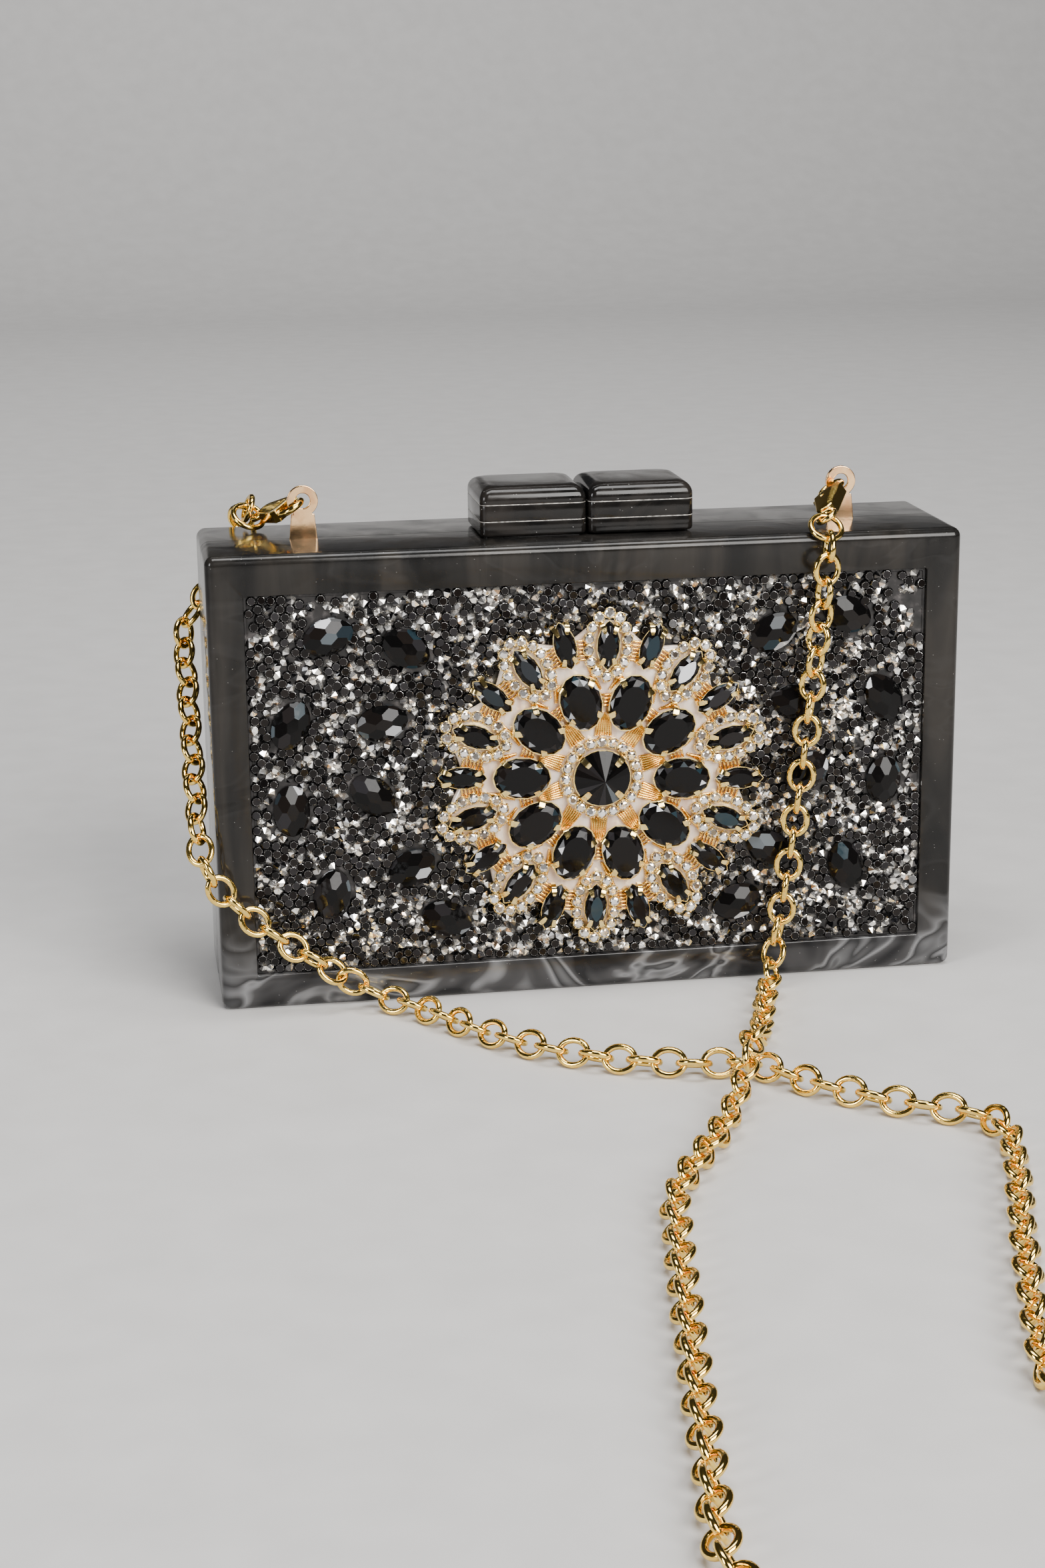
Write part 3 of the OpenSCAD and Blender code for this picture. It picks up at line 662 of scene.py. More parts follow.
def box_shape(lo, hi):
    """Plain box between two corners, for cutting with."""
    corners = [(x, y, z) for x in (lo[0], hi[0]) for y in (lo[1], hi[1]) for z in (lo[2], hi[2])]
    faces = [(0, 1, 3, 2), (4, 6, 7, 5), (0, 4, 5, 1), (2, 3, 7, 6), (0, 2, 6, 4), (1, 5, 7, 3)]
    return corners, faces


def cut(piece, boxes):
    """Cuts boxes, as pairs of corners in millimetres, out of a piece."""
    for lo, hi in boxes:
        verts, faces = box_shape(lo, hi)
        mesh = bpy.data.meshes.new("cutter")
        mesh.from_pydata((np.array(verts) * MM).tolist(), [], faces)
        cutter = bpy.data.objects.new("cutter", mesh)
        bpy.context.scene.collection.objects.link(cutter)
        modifier = piece.modifiers.new("cut", "BOOLEAN")
        modifier.object = cutter
        modifier.solver = "EXACT"
        apply_modifiers(piece)
        bpy.data.objects.remove(cutter)


def apply_modifiers(piece):
    """Replaces a piece's mesh by what its modifiers make of it."""
    graph = bpy.context.evaluated_depsgraph_get()
    mesh = bpy.data.meshes.new_from_object(piece.evaluated_get(graph))
    piece.modifiers.clear()
    piece.data = mesh


def flip_outwards(piece):
    """Makes the mesh's faces look outwards."""
    bm = bmesh.new()
    bm.from_mesh(piece.data)
    bmesh.ops.recalc_face_normals(bm, faces=bm.faces)
    bm.to_mesh(piece.data)
    bm.free()


def smooth(piece, sharp):
    """Smooth shading with edges sharper than the angle kept."""
    mesh = piece.data
    mesh.polygons.foreach_set("use_smooth", [True] * len(mesh.polygons))
    mesh.set_sharp_from_angle(angle=math.radians(sharp))


def make_half(name, body, y_rim, y_face, window, replaces, boxes):
    rings, inside = shell_rings(y_rim, y_face, window)
    soup = Soup()
    if window:
        soup.add(*loft(rings + inside, closed=True))
    else:
        verts, faces = loft(rings, cap_start=False)
        hollow, hollow_faces = loft(inside, cap_end=False)
        n = len(rings[0])
        shift = len(verts)
        rim = [(i, (i + 1) % n, shift + n + (i + 1) % n, shift + n + i) for i in range(n)]
        soup.add(np.vstack([verts, hollow]),
                 faces + [tuple(i + shift for i in f) for f in hollow_faces] + rim)
    piece = soup.build(name, [ACRYLIC], "marbled_acrylic", body, replaces)
    flip_outwards(piece)
    cut(piece, boxes)
    smooth(piece, 35)


def make_case():
    wide = CASE_W
    slot = 0.1
    tabs = []
    for node_name in ("left_tab", "right_tab"):
        lo, hi = box_mm(node_name)
        middle = (lo[0] + hi[0]) / 2
        half = TAB_W / 2 + slot
        tabs.append(((middle - half, SEAM_Y - 1.2, CASE_H - 4), (middle + half, SEAM_Y + 1, CASE_H + 1)))
    make_half("front_case", FRONT, FRONT_HI[1], FACE_Y, True, ("front_frame",),
              [((-wide, SEAM_Y - HINGE_RELIEF, -1), (wide, SEAM_Y + 5, WALL))] + tabs)
    make_half("back_case", BACK, BACK_LO[1], BACK_HI[1], False, ("back_shell",),
              [((-wide, SEAM_Y - 5, -1), (wide, SEAM_Y + HINGE_RELIEF, WALL))])


make_case()

# ------------------------------------------------------------------ clasp blocks

BLOCK_R = 2.0
TOP_R = 3.4
LINE = 0.16


def slab(soup, lo, hi, z0, z1, corner, low_r=0.25, high_r=0.25, slot=0, grow=0.0):
    """Slab between two heights with round vertical corners and rounded top and bottom edges."""
    w, d = hi[0] - lo[0] + grow, hi[1] - lo[1] + grow
    centre = ((lo[0] + hi[0]) / 2, (lo[1] + hi[1]) / 2)
    rings = []
    for radius, edge, sign in ((low_r, z0, 1), (high_r, z1, -1)):
        steps = 9 if radius > 1 else 4
        arc = []
        for a in np.linspace(0, math.pi / 2, steps):
            inset = radius * (1 - math.cos(a))
            outline = rounded_rect(w - 2 * inset, d - 2 * inset, max(corner, 1.15 * inset), 8)
            arc.append(level(outline, edge + sign * radius * (1 - math.sin(a)), centre))
        rings += arc[::-1] if sign > 0 else arc
    soup.add(*loft(rings), slot=slot)


def make_block(side, body):
    """Three laminated layers with pale lines of cement between them."""
    lo, hi = box_mm(side + "_block_base")
    middle_lo, middle_hi = box_mm(side + "_block_middle")
    top_z = box_mm(side + "_block_top")[1][2]
    z0, z1, z2 = lo[2], middle_lo[2], middle_hi[2]
    foot = Soup()
    own_side = -1 if side == "front" else 1
    foot_lo = (lo[0] + 1.2, SEAM_Y + 0.4 if own_side > 0 else lo[1] + 1.2)
    foot_hi = (hi[0] - 1.2, hi[1] - 1.2 if own_side > 0 else SEAM_Y - 0.4)
    slab(foot, foot_lo, foot_hi, z0, z0 + 0.4, 1.0, 0.05, 0.05)
    slab(foot, lo, hi, z0 + 0.3, z1 - LINE / 2, BLOCK_R, 0.9, 0.12)
    middle = Soup()
    slab(middle, lo, hi, z1 + LINE / 2, z2 - LINE / 2, BLOCK_R, 0.12, 0.12)
    top = Soup()
    slab(top, lo, hi, z2 + LINE / 2, top_z, BLOCK_R, 0.12, TOP_R)
    for soup, layer in ((foot, "_block_base"), (middle, "_block_middle"), (top, "_block_top")):
        soup.build(side + layer + "_layer", [BLOCK], "block_acrylic", body, (side + layer,), sharp=40)
    lines = Soup()
    for z in (z1, z2):
        slab(lines, lo, hi, z - LINE / 2, z + LINE / 2, BLOCK_R, 0.02, 0.02, grow=-0.1)
    lines.build(side + "_block_glue_lines", [GLUE], "block_acrylic", body, sharp=40)


make_block("front", FRONT)
make_block("back", BACK)

# ------------------------------------------------------------------ stones

BOARD_Y = box_mm("panel_board")[0][1]
FIELD_Y = box_mm("stone_field")[0][1]
ROSETTE_LO, ROSETTE_HI = box_mm("center_stone")
ROSETTE_X = (ROSETTE_LO[0] + ROSETTE_HI[0]) / 2
ROSETTE_Z = (ROSETTE_LO[2] + ROSETTE_HI[2]) / 2
ROSETTE = (ROSETTE_X, ROSETTE_Z, 0)
PETALS = 10
PETAL_TURN = -3
HALF_PETAL = 18
BASE_W = 1.5
CUP_W = 3.5
OVAL_RING, OVAL_SIZE = 21.5, (15.2, 11.0)
PLAIN_RING, PLAIN_SIZE = 37.3, (12.8, 5.9)
HALO_RING, HALO_SIZE = 35.8, (13.0, 6.1)
CENTER_R = 7.5
CENTER_RING, CENTER_COUNT = 9.7, 20
HALO_COUNT = 14
RHINESTONE_R = 1.45
BLACK_SHARE = 0.52
STONE_SIDES = 14
# Height, reach inwards and width of a setting's prongs, and the angles where they stand
OVAL_CLAWS = (CUP_W + 0.95, 3.0, 1.5, (50, 130, 230, 310))
MARQUISE_CLAWS = (CUP_W + 0.45, 2.0, 1.2, (38, 142, 218, 322))
CENTER_CLAWS = (CUP_W + 0.9, 3.0, 1.6, (45, 135, 225, 315))
ACCENTS = [
    (-69, 100, 20), (-49, 96, -30), (-79.5, 77, 60), (-55.5, 76.5, 10), (-80, 54, 90),
    (-58.5, 57, -40), (-48.5, 36.5, 30), (-70, 30.5, 75), (-39.5, 22, -20)
]
ACCENT_SIZE = (13.6, 9.6)


def ellipse(size, n, offset=0.0):
    t = (np.arange(n) + offset) * 2 * math.pi / n
    return np.column_stack([size[0] / 2 * np.cos(t), size[1] / 2 * np.sin(t)])


def marquise(size, n, offset=0.0):
    """Outline drawn in to a point at each end."""
    t = (np.arange(n) + offset) * 2 * math.pi / n
    s = np.sin(t)
    return np.column_stack([size[0] / 2 * np.cos(t), size[1] / 2 * np.sign(s) * np.abs(s) ** 1.6])


def pear(size, n, offset=0.0):
    """Outline round at one end and drawn in to a point at the other."""
    t = (np.arange(n) + offset) * 2 * math.pi / n
    x = np.cos(t)
    narrow = (1 - np.maximum(x, 0) ** 2.2) ** 0.15
    return np.column_stack([size[0] / 2 * x, size[1] / 2 * np.sin(t) * narrow])


def faceted(outline, size, n, levels, low=0.0):
    """Cut stone: each level is (scale, height), turned half a facet from the one below."""
    rings = [np.column_stack([outline(size, n), np.full(n, low)])]
    for k, (scale, height) in enumerate(levels):
        shape = outline((size[0] * scale, size[1] * scale), n, (k % 2) * 0.5)
        rings.append(np.column_stack([shape, np.full(n, height)]))
    faces = [(i, (i + 1) % n, n + (i + 1) % n, n + i) for i in range(n)]
    for k in range(1, len(rings) - 1):
        a, b = k * n, (k + 1) * n
        for i in range(n):
            j = (i + 1) % n
            if k % 2:
                faces += [(a + i, a + j, b + i), (a + j, b + j, b + i)]
            else:
                faces += [(a + i, b + j, b + i), (a + i, a + j, b + j)]
    faces.append(tuple(range((len(rings) - 1) * n, len(rings) * n)))
    faces.append(tuple(reversed(range(n))))
    return np.vstack(rings), faces


def pointed_faces(n):
    """Faces of a stone with n sides: a low wall, then facets up to one point."""
    faces = [(i, (i + 1) % n, n + (i + 1) % n, n + i) for i in range(n)]
    return faces + [(n + i, n + (i + 1) % n, 2 * n) for i in range(n)]


def petal_places(radius, turn=0.0):
    """(x, z, angle) of each petal in a ring of the rosette."""
    for i in range(PETALS):
        angle = i * 360 / PETALS + PETAL_TURN + turn
        a = math.radians(angle)
        yield ROSETTE_X + radius * math.cos(a), ROSETTE_Z + radius * math.sin(a), angle


def base_radius(angle):
    """Radius of the rosette's pearly base, with a lobe behind every halo."""
    return 39.6 + 2.4 * math.cos(math.radians((angle - PETAL_TURN - HALF_PETAL) * PETALS))


def near_accent(x, z, margin):
    for ax, az, turn in ACCENTS:
        for side in (-1, 1):
            a = math.radians(turn if side < 0 else 180 - turn)
            dx, dz = x - (ax if side < 0 else -ax), z - az
            u = dx * math.cos(a) + dz * math.sin(a)
            v = dz * math.cos(a) - dx * math.sin(a)
            if (u / (ACCENT_SIZE[0] / 2 + margin)) ** 2 + (v / (ACCENT_SIZE[1] / 2 + margin)) ** 2 < 1:
                return True
    return False


def scatter_stones(spacing, edge):
    """Random packed places over the window, relaxed so that neighbours keep their distance."""
    half_w, half_h = WINDOW_W / 2 - edge, WINDOW_H / 2 - edge
    count = int(1.32 * 4 * half_w * half_h / (spacing ** 2))
    p = RNG.uniform((-half_w, -half_h), (half_w, half_h), (count, 2))
    for _ in range(40):
        order = np.argsort(p[:, 0])
        p = p[order]
        push = np.zeros_like(p)
        for lag in range(1, 60):
            d = p[lag:] - p[:-lag]
            r = np.linalg.norm(d, axis=1) + 1e-6
            near = np.clip(spacing - r, 0, None) * 0.45
            move = d / r[:, None] * near[:, None]
            push[lag:] += move
            push[:-lag] -= move
        p = np.clip(p + np.clip(push, -0.6, 0.6), (-half_w, -half_h), (half_w, half_h))
    return p + (0, WINDOW_Z)


def make_stone_field():
    """Packed small stones: slightly more flat-top black ones than pointed silver ones."""
    chatons, cones = Soup(), Soup()
    for x, z in scatter_stones(2.55, 1.4):
        from_centre = math.hypot(x - ROSETTE_X, z - ROSETTE_Z)
        direction = math.degrees(math.atan2(z - ROSETTE_Z, x - ROSETTE_X))
        if from_centre < base_radius(direction) + 0.6 or near_accent(x, z, 0.5):
            continue
        turn = RNG.uniform(0, 360)
        r = RNG.uniform(1.25, 1.48)
        if RNG.random() < BLACK_SHARE:
            lean = RNG.normal(0, 6, 2)
            shape, faces = faceted(ellipse, (2 * r, 2 * r), 10, [(1.0, 0.6), (0.78, 0.95), (0.73, 0.98)])
            tints = RNG.uniform(0, 0.5, len(faces))
            tints[-2] = RNG.uniform(0.5, 0.86)
            slots = np.zeros(len(faces), int)
            # Faces 30 to 49, the narrow bevel round the table, take the painted highlight.
            slots[30:50] = 1
            soup = chatons
        else:
            lean = RNG.normal(0, 15, 2)
            sides = 7
            ring = ellipse((2 * r, 2 * r), sides)
            low = np.column_stack([ring * 0.9, np.zeros(sides)])
            high = np.column_stack([ring, np.full(sides, 0.35)])
            apex = [(0, 0, RNG.uniform(1.3, 1.7))]
            shape = np.vstack([low, high, apex])
            faces = pointed_faces(sides)
            around = np.arange(len(faces)) % sides * 2 * math.pi / sides
            # The cosine term paints one side of each cone light and the other in shade, over a random tone
            # per stone.
            tints = RNG.uniform(0.22, 0.62) + 0.34 * np.cos(around) + RNG.normal(0, 0.10, len(faces))
            tints = np.clip(tints, 0, 1)
            slots = 0
            soup = cones
        soup.add(on_front(tilted(shape, *lean), x, z, turn, BOARD_Y), faces, tints, slots)
    chatons.build("black_flat_stones", [JET, BEVEL_GLINT], "mixed_crystals", replaces=("stone_field",))
    cones.build("silver_pointed_stones", [SILVER], "mixed_crystals")


def make_board():
    """Board of resin with a narrow raised edge inside the window."""
    soup = Soup()
    middle = (0.0, WINDOW_Z)
    rings = []
    for grow, w in ((-0.2, -1.2), (-0.2, 0.25), (-1.4, 0.25), (-1.7, 0.02)):
        rings.append(upright(rounded_rect(WINDOW_W + grow, WINDOW_H + grow, 0.4, 2), BOARD_Y - w, middle))
    soup.add(*loft(rings))
    piece = soup.build("resin_board", [RESIN], "board", replaces=("panel_board",))
    flip_outwards(piece)


def checker_dome(outline, size, top=3.4, edge=1.0, pitch=3.1):
    """Stone whose dome is cut into square facets: a prism trimmed by planes that touch a smooth dome."""
    n = 24
    ring = outline(size, n)
    prism, prism_faces = loft([np.column_stack([ring, np.full(n, h)]) for h in (0.0, top + 1)])
    mesh = bpy.data.meshes.new("dome")
    mesh.from_pydata(prism.tolist(), [], prism_faces)
    bm = bmesh.new()
    bm.from_mesh(mesh)
    bpy.data.meshes.remove(mesh)
    fall = (top - edge) / np.array([size[0] / 2, size[1] / 2]) ** 2
    for i in range(-3, 4):
        for j in range(-3, 4):
            x, y = (i - j) * pitch * math.sqrt(0.5), (i + j) * pitch * math.sqrt(0.5)
            z = top - fall[0] * x * x - fall[1] * y * y
            if z < edge - 2.5:
                continue
            cut_out = bmesh.ops.bisect_plane(
                bm, geom=bm.verts[:] + bm.edges[:] + bm.faces[:], plane_co=(x, y, z),
                plane_no=(2 * fall[0] * x, 2 * fall[1] * y, 1), clear_outer=True)
            edges = [e for e in cut_out["geom_cut"] if isinstance(e, bmesh.types.BMEdge)]
            if edges:
                bmesh.ops.edgeloop_fill(bm, edges=edges)
    bmesh.ops.recalc_face_normals(bm, faces=bm.faces)
    bm.verts.index_update()
    verts = np.array([v.co[:] for v in bm.verts])
    faces = [tuple(v.index for v in f.verts) for f in bm.faces]
    bm.free()
    return verts, faces


def make_accents():
    """Large checkerboard-cut stones set among the small ones."""
    soup = Soup()
    cuts = [checker_dome(pear, ACCENT_SIZE), checker_dome(ellipse, ACCENT_SIZE)]
    for i, (x, z, turn) in enumerate(ACCENTS):
        shape, faces = cuts[1 if i % 3 == 1 else 0]
        for side in (-1, 1):
            lean = RNG.normal(0, 4, 2)
            placed = on_front(tilted(shape, *lean), x * -side, z, turn if side < 0 else 180 - turn, BOARD_Y)
            soup.add(placed, faces, RNG.uniform(0, 1, len(faces)))
    soup.build("checkerboard_stones", [JET], "black_crystal", replaces=("accent_stones",))


make_board()
make_stone_field()
make_accents()

# ------------------------------------------------------------------ rosette


def make_rosette_base():
    """Puffed pearly base with lobes behind the halos."""
    n = 180
    degrees = np.arange(n) * 360 / n
    radii = np.array([base_radius(d) for d in degrees])
    a = np.radians(degrees)
    rings = []
    for inset, w in ((0, 0), (0, 0.6), (0.35, 1.15), (1.1, 1.5), (4, 1.62), (12, 1.5), (24, 1.5)):
        r = radii - inset
        outline = np.column_stack([r * np.cos(a), r * np.sin(a), np.full(n, w)])
        rings.append(on_front(outline, *ROSETTE, FIELD_Y))
    soup = Soup()
    soup.add(*loft(rings))
    soup.build("pearl_base", [PEARL], "pearl_base", replaces=("rosette_base",), sharp=50)


def prong(soup, x, z, angle, u, v, inward, rise, reach, width):
    """Flat claw that stands at (u, v) of a stone's own frame and bends inwards over its edge."""
    thick = 0.5
    path = [(0.25, BASE_W), (0.25, rise - 0.5), (0.05, rise),
            (-0.5 * reach, rise + 0.42), (-reach, rise + 0.5)]
    direction = np.array([math.cos(inward), math.sin(inward)])
    across = np.array([-direction[1], direction[0]])
    rings = []
    for k, (out, w) in enumerate(path):
        half = width / 2 * (1.0 if k < len(path) - 1 else 0.62)
        lift = thick if k >= 2 else 0.0
        side = 0.0 if k >= 2 else thick
        corners = []
        for s, t in ((-1, 0), (1, 0), (1, 1), (-1, 1)):
            flat = np.array([u, v]) - direction * (out + t * side) + across * s * half
            corners.append((flat[0], flat[1], w + t * lift))
        rings.append(corners)
    verts, faces = loft([np.array(r) for r in rings])
    soup.add(on_front(verts, x, z, angle, FIELD_Y), faces)


def cup(soup, outline, size, x, z, angle, top):
    """Metal cup under a stone, with a fine rim."""
    n = 28
    rings = []
    for scale, w in ((0.80, BASE_W - 0.3), (0.86, BASE_W + 0.4), (1.0, top - 0.5), (1.035, top), (0.97, top)):
        rings.append(np.column_stack([outline((size[0] * scale, size[1] * scale), n), np.full(n, w)]))
    verts, faces = loft(rings)
    soup.add(on_front(verts, x, z, angle, FIELD_Y), faces)


def four_prongs(soup, size, x, z, angle, rise, reach, width, at):
    for a in at:
        t = math.radians(a)
        u, v = size[0] / 2 * math.cos(t), size[1] / 2 * math.sin(t)
        prong(soup, x, z, angle, u, v, math.atan2(-v, -u), rise, reach, width)


def set_stone(settings, stones, outline, size, place, top, claws, low, levels):
    """Faceted stone in its cup, held by four prongs. The table of an oval is always dark."""
    cup(settings, outline, size, *place, top)
    four_prongs(settings, size, *place, *claws)
    shape, faces = faceted(outline, size, STONE_SIDES, levels, low)
    tints = RNG.uniform(0, 1, len(faces))
    if outline is ellipse:
        tints[-2] = RNG.uniform(0.2, 0.66)
    stones.add(on_front(shape, *place, FIELD_Y), faces, tints)


def make_ovals():
    settings, stones = Soup(), Soup()
    levels = [(1.0, CUP_W + 0.55), (0.88, CUP_W + 1.5), (0.66, CUP_W + 2.3)]
    for place in petal_places(OVAL_RING):
        set_stone(settings, stones, ellipse, OVAL_SIZE, place, CUP_W + 0.35, OVAL_CLAWS, CUP_W, levels)
    settings.build("oval_cups", [PALE_GOLD], "gold_settings", replaces=("oval_settings",), sharp=40)
    stones.build("oval_crystals", [JET], "black_crystal", replaces=("oval_stones",))


def make_marquises():
    stones, settings = Soup(), Soup()
    levels = [(1.0, CUP_W + 0.2), (0.84, CUP_W + 1.0), (0.55, CUP_W + 1.7)]
    for place in petal_places(PLAIN_RING):
        set_stone(settings, stones, marquise, PLAIN_SIZE, place, CUP_W, MARQUISE_CLAWS, CUP_W - 0.4, levels)
    settings.build("plain_cups", [PALE_GOLD], "gold_settings", replaces=("plain_settings",), sharp=40)
    stones.build("plain_crystals", [JET], "black_crystal", replaces=("plain_marquises",))


def rhinestone(stones, metal, place, u, v, w):
    """Small clear stone in a gilt cup with a bead of metal at each corner."""
    r = RHINESTONE_R
    turn = RNG.uniform(0, 45)
    shape, faces = faceted(ellipse, (2 * r, 2 * r), 8, [(1.0, 0.35), (0.82, 0.85), (0.5, 1.1)])
    shape = tilted(shape, *RNG.normal(0, 6, 2))
    c, s = math.cos(math.radians(turn)), math.sin(math.radians(turn))
    local = np.column_stack([shape[:, 0] * c - shape[:, 1] * s + u, shape[:, 0] * s + shape[:, 1] * c + v,
                             shape[:, 2] + w])
    stones.add(on_front(local, *place, FIELD_Y), faces, RNG.uniform(0, 1, len(faces)))
    profile = ((r * 0.9, BASE_W - 0.2), (r + 0.14, w - 0.1), (r + 0.14, w + 0.3), (r - 0.05, w + 0.36))
    seat = [np.column_stack([ellipse((2 * k, 2 * k), 10) + (u, v), np.full(10, h)]) for k, h in profile]
    verts, cup_faces = loft(seat)
    metal.add(on_front(verts, *place, FIELD_Y), cup_faces)
    for k in range(4):
        a = math.radians(turn + 22 + 90 * k)
        bead = ellipse((0.62, 0.62), 6)
        at = np.array([u + (r + 0.02) * math.cos(a), v + (r + 0.02) * math.sin(a)])
        rings = []
        for f, h in ((1, 0.2), (1, 0.62), (0.5, 0.85)):
            rings.append(np.column_stack([bead * f + at, np.full(6, w + h)]))
        verts, bead_faces = loft(rings)
        metal.add(on_front(verts, *place, FIELD_Y), bead_faces)


def spaced(outline, size, count):
    """Points equally spaced along an outline."""
    p = outline(size, 240)
    p = np.vstack([p, p[:1]])
    s = np.concatenate([[0], np.cumsum(np.linalg.norm(np.diff(p, axis=0), axis=1))])
    at = np.arange(count) * s[-1] / count
    return np.column_stack([np.interp(at, s, p[:, 0]), np.interp(at, s, p[:, 1])])


def make_halos():
    """Marquises with a ring of clear rhinestones round each."""
    stones, rims, clear = Soup(), Soup(), Soup()
    levels = [(1.0, CUP_W + 0.1), (0.84, CUP_W + 1.0), (0.55, CUP_W + 1.7)]
    for place in petal_places(HALO_RING, HALF_PETAL):
        set_stone(rims, stones, marquise, HALO_SIZE, place, CUP_W, MARQUISE_CLAWS, CUP_W - 0.6, levels)
        for u, v in spaced(ellipse, (HALO_SIZE[0] + 4.0, HALO_SIZE[1] + 4.3), HALO_COUNT):
            rhinestone(clear, rims, place, u, v, CUP_W - 0.75)
    stones.build("halo_crystals", [JET], "black_crystal", replaces=("halo_marquises",))
    rims.build("halo_settings", [PALE_GOLD], "gold_settings", replaces=("halo_rims",), sharp=40)
    clear.build("halo_rhinestones", [CLEAR], "clear_crystal")


def make_center():
    """Pointed centre stone with prongs and its ring of rhinestones."""
    setting, clear, cups, stone = Soup(), Soup(), Soup(), Soup()
    size = (2 * CENTER_R, 2 * CENTER_R)
    cup(setting, ellipse, size, *ROSETTE, CUP_W + 0.2)
    four_prongs(setting, size, *ROSETTE, *CENTER_CLAWS)
    n = 24
    low = np.column_stack([ellipse(size, n), np.full(n, CUP_W)])
    girdle = np.column_stack([ellipse(size, n), np.full(n, CUP_W + 0.5)])
    apex = [(0, 0, CUP_W + 4.7)]
    faces = pointed_faces(n) + [tuple(reversed(range(n)))]
    placed = on_front(np.vstack([low, girdle, apex]), ROSETTE_X, ROSETTE_Z, 7, FIELD_Y)
    stone.add(placed, faces, RNG.uniform(0, 1, len(faces)))
    for i in range(CENTER_COUNT):
        a = 2 * math.pi * i / CENTER_COUNT
        rhinestone(clear, cups, ROSETTE, CENTER_RING * math.cos(a), CENTER_RING * math.sin(a), CUP_W - 0.6)
    setting.build("center_cup", [PALE_GOLD], "gold_settings", replaces=("center_setting",), sharp=40)
    stone.build("center_crystal", [JET], "black_crystal", replaces=("center_stone",))
    cups.build("center_ring_cups", [PALE_GOLD], "gold_settings", sharp=40)
    clear.build("center_ring_stones", [CLEAR], "clear_crystal", replaces=("center_rhinestones",))


def coil(soup, start, end, angle_at, w=BASE_W + 0.4, r=0.36):
    """Bullion wire: a ribbed tube on the base from start to end, as (radius, degrees) of the rosette."""
    points = []
    for radius, degrees in (start, end):
        a = math.radians(degrees + angle_at)
        points.append((radius * math.cos(a), radius * math.sin(a), w))
    a, b = np.array(points[0]), np.array(points[1])
    n = max(4, int(np.linalg.norm(b - a) / 0.26))
    t = np.linspace(0, 1, n)[:, None]
    line = a + (b - a) * t
    line[:, 2] += 0.35 * np.sin(math.pi * t[:, 0])
    ribs = r * (1 + 0.30 * np.cos(math.pi * np.arange(n)))
    verts, faces = tube(line, ribs, 6)
    soup.add(on_front(verts, *ROSETTE, FIELD_Y), faces)


def make_bullion():
    """Wire wraps in every gap: fans towards the centre, ties between stones, bands beside the halos."""
    soup = Soup()
    for i in range(PETALS):
        at = i * 360 / PETALS + PETAL_TURN + HALF_PETAL
        for k in (-3, -2, -1, 0, 1, 2, 3):
            coil(soup, (11.4, k * 3.4), (17.4, k * 1.5), at)
        for k in range(4):
            coil(soup, (19.6 + k * 0.95, -3.6), (19.6 + k * 0.95, 3.6), at, BASE_W + 0.9)
        for side in (-1, 1):
            for k in range(5):
                start = (23.8 + k * 0.5, side * (3.0 + 0.9 * k))
                end = (27.4 + k * 1.0, side * (6.6 + 0.8 * k))
                coil(soup, start, end, at)
            for k in range(6):
                coil(soup, (32.2 + k * 1.0, side * 9.0), (32.6 + k * 1.0, side * 14.8), at)
    soup.build("bullion_wire", [WIRE_GOLD], "gold_wire", replaces=("bullion_bridges",), sharp=70)


make_rosette_base()
make_ovals()
make_marquises()
make_halos()
make_center()
make_bullion()

# ------------------------------------------------------------------ clasps and tabs

RIM_MID = 3.05
HOOK_SLACK = 1.1
CLASPS = {"left": (-72.8, 32, 65), "right": (72.8, 36, -67)}


def clasp_axes(side):
    """Origin and axes of a clasp's own frame, in millimetres."""
    x, dip, swing = CLASPS[side]
    a = math.radians(dip)
    origin = np.array([x - RIM_MID * math.cos(a), SEAM_Y - 0.7, TAB_HI[2] - 4.1 - RIM_MID * math.sin(a)])
    turn = Matrix.Rotation(math.pi - a, 3, "Y") @ Matrix.Rotation(math.radians(swing), 3, "Z")
    axes = np.array(turn)
    return origin + axes[:, 0] * HOOK_SLACK, axes


def cast(node_name, piece_name, body, material, voxel, shape=None):
    """Soft-edged casting made from a CAD node's own solid; shape may move its points."""
    piece = bpy.data.objects.new(piece_name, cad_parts[node_name].data.copy())
    bpy.context.scene.collection.objects.link(piece)
    remesh = piece.modifiers.new("remesh", "REMESH")
    remesh.mode = "VOXEL"
    remesh.voxel_size = voxel * MM
    soften = piece.modifiers.new("soften", "SMOOTH")
    soften.factor = 0.5
    soften.iterations = 3
    apply_modifiers(piece)
    if shape is not None:
        co = np.array([v.co for v in piece.data.vertices], float) / MM
        piece.data.vertices.foreach_set("co", (shape(co) * MM).astype(np.float32).ravel())
    piece.data.materials.clear()
    piece.data.materials.append(material)
    smooth(piece, 50)
    place_piece(piece, body, (node_name,))


def ribbed(side):
    """Raises ribs across both flat cheeks of a clasp's body."""
    origin, axes = clasp_axes(side)

    def shape(co):
        local = (co - origin) @ axes
        x, y, z = local.T
        width = 4.3 - 0.17 * (x - 4)
        on_body = np.clip((x - 4.6) / 0.6, 0, 1) * np.clip((15.4 - x) / 0.6, 0, 1)
        on_body *= np.clip((width - np.abs(y)) / 0.5, 0, 1) * (np.abs(z) > 1.3)
        rise = 0.22 * on_body * (0.5 + 0.5 * np.cos(2 * math.pi * x / 1.25))
        crown = 0.35 * on_body * (1 - (y / width) ** 2)
        local[:, 2] += np.sign(z) * (rise + crown - 0.2 * on_body)
        return origin + local @ axes.T

    return shape


for clasp_side in CLASPS:
    cast(clasp_side + "_clasp", clasp_side + "_lobster_casting", FRONT, CHAIN_GOLD, 0.14,
         ribbed(clasp_side))
    cast(clasp_side + "_trigger", clasp_side + "_trigger_lever", clasp_side + "_trigger",
         CHAIN_GOLD, 0.1)
    cast(clasp_side + "_tab", clasp_side + "_chain_tab", FRONT, TAB_GOLD, 0.13)

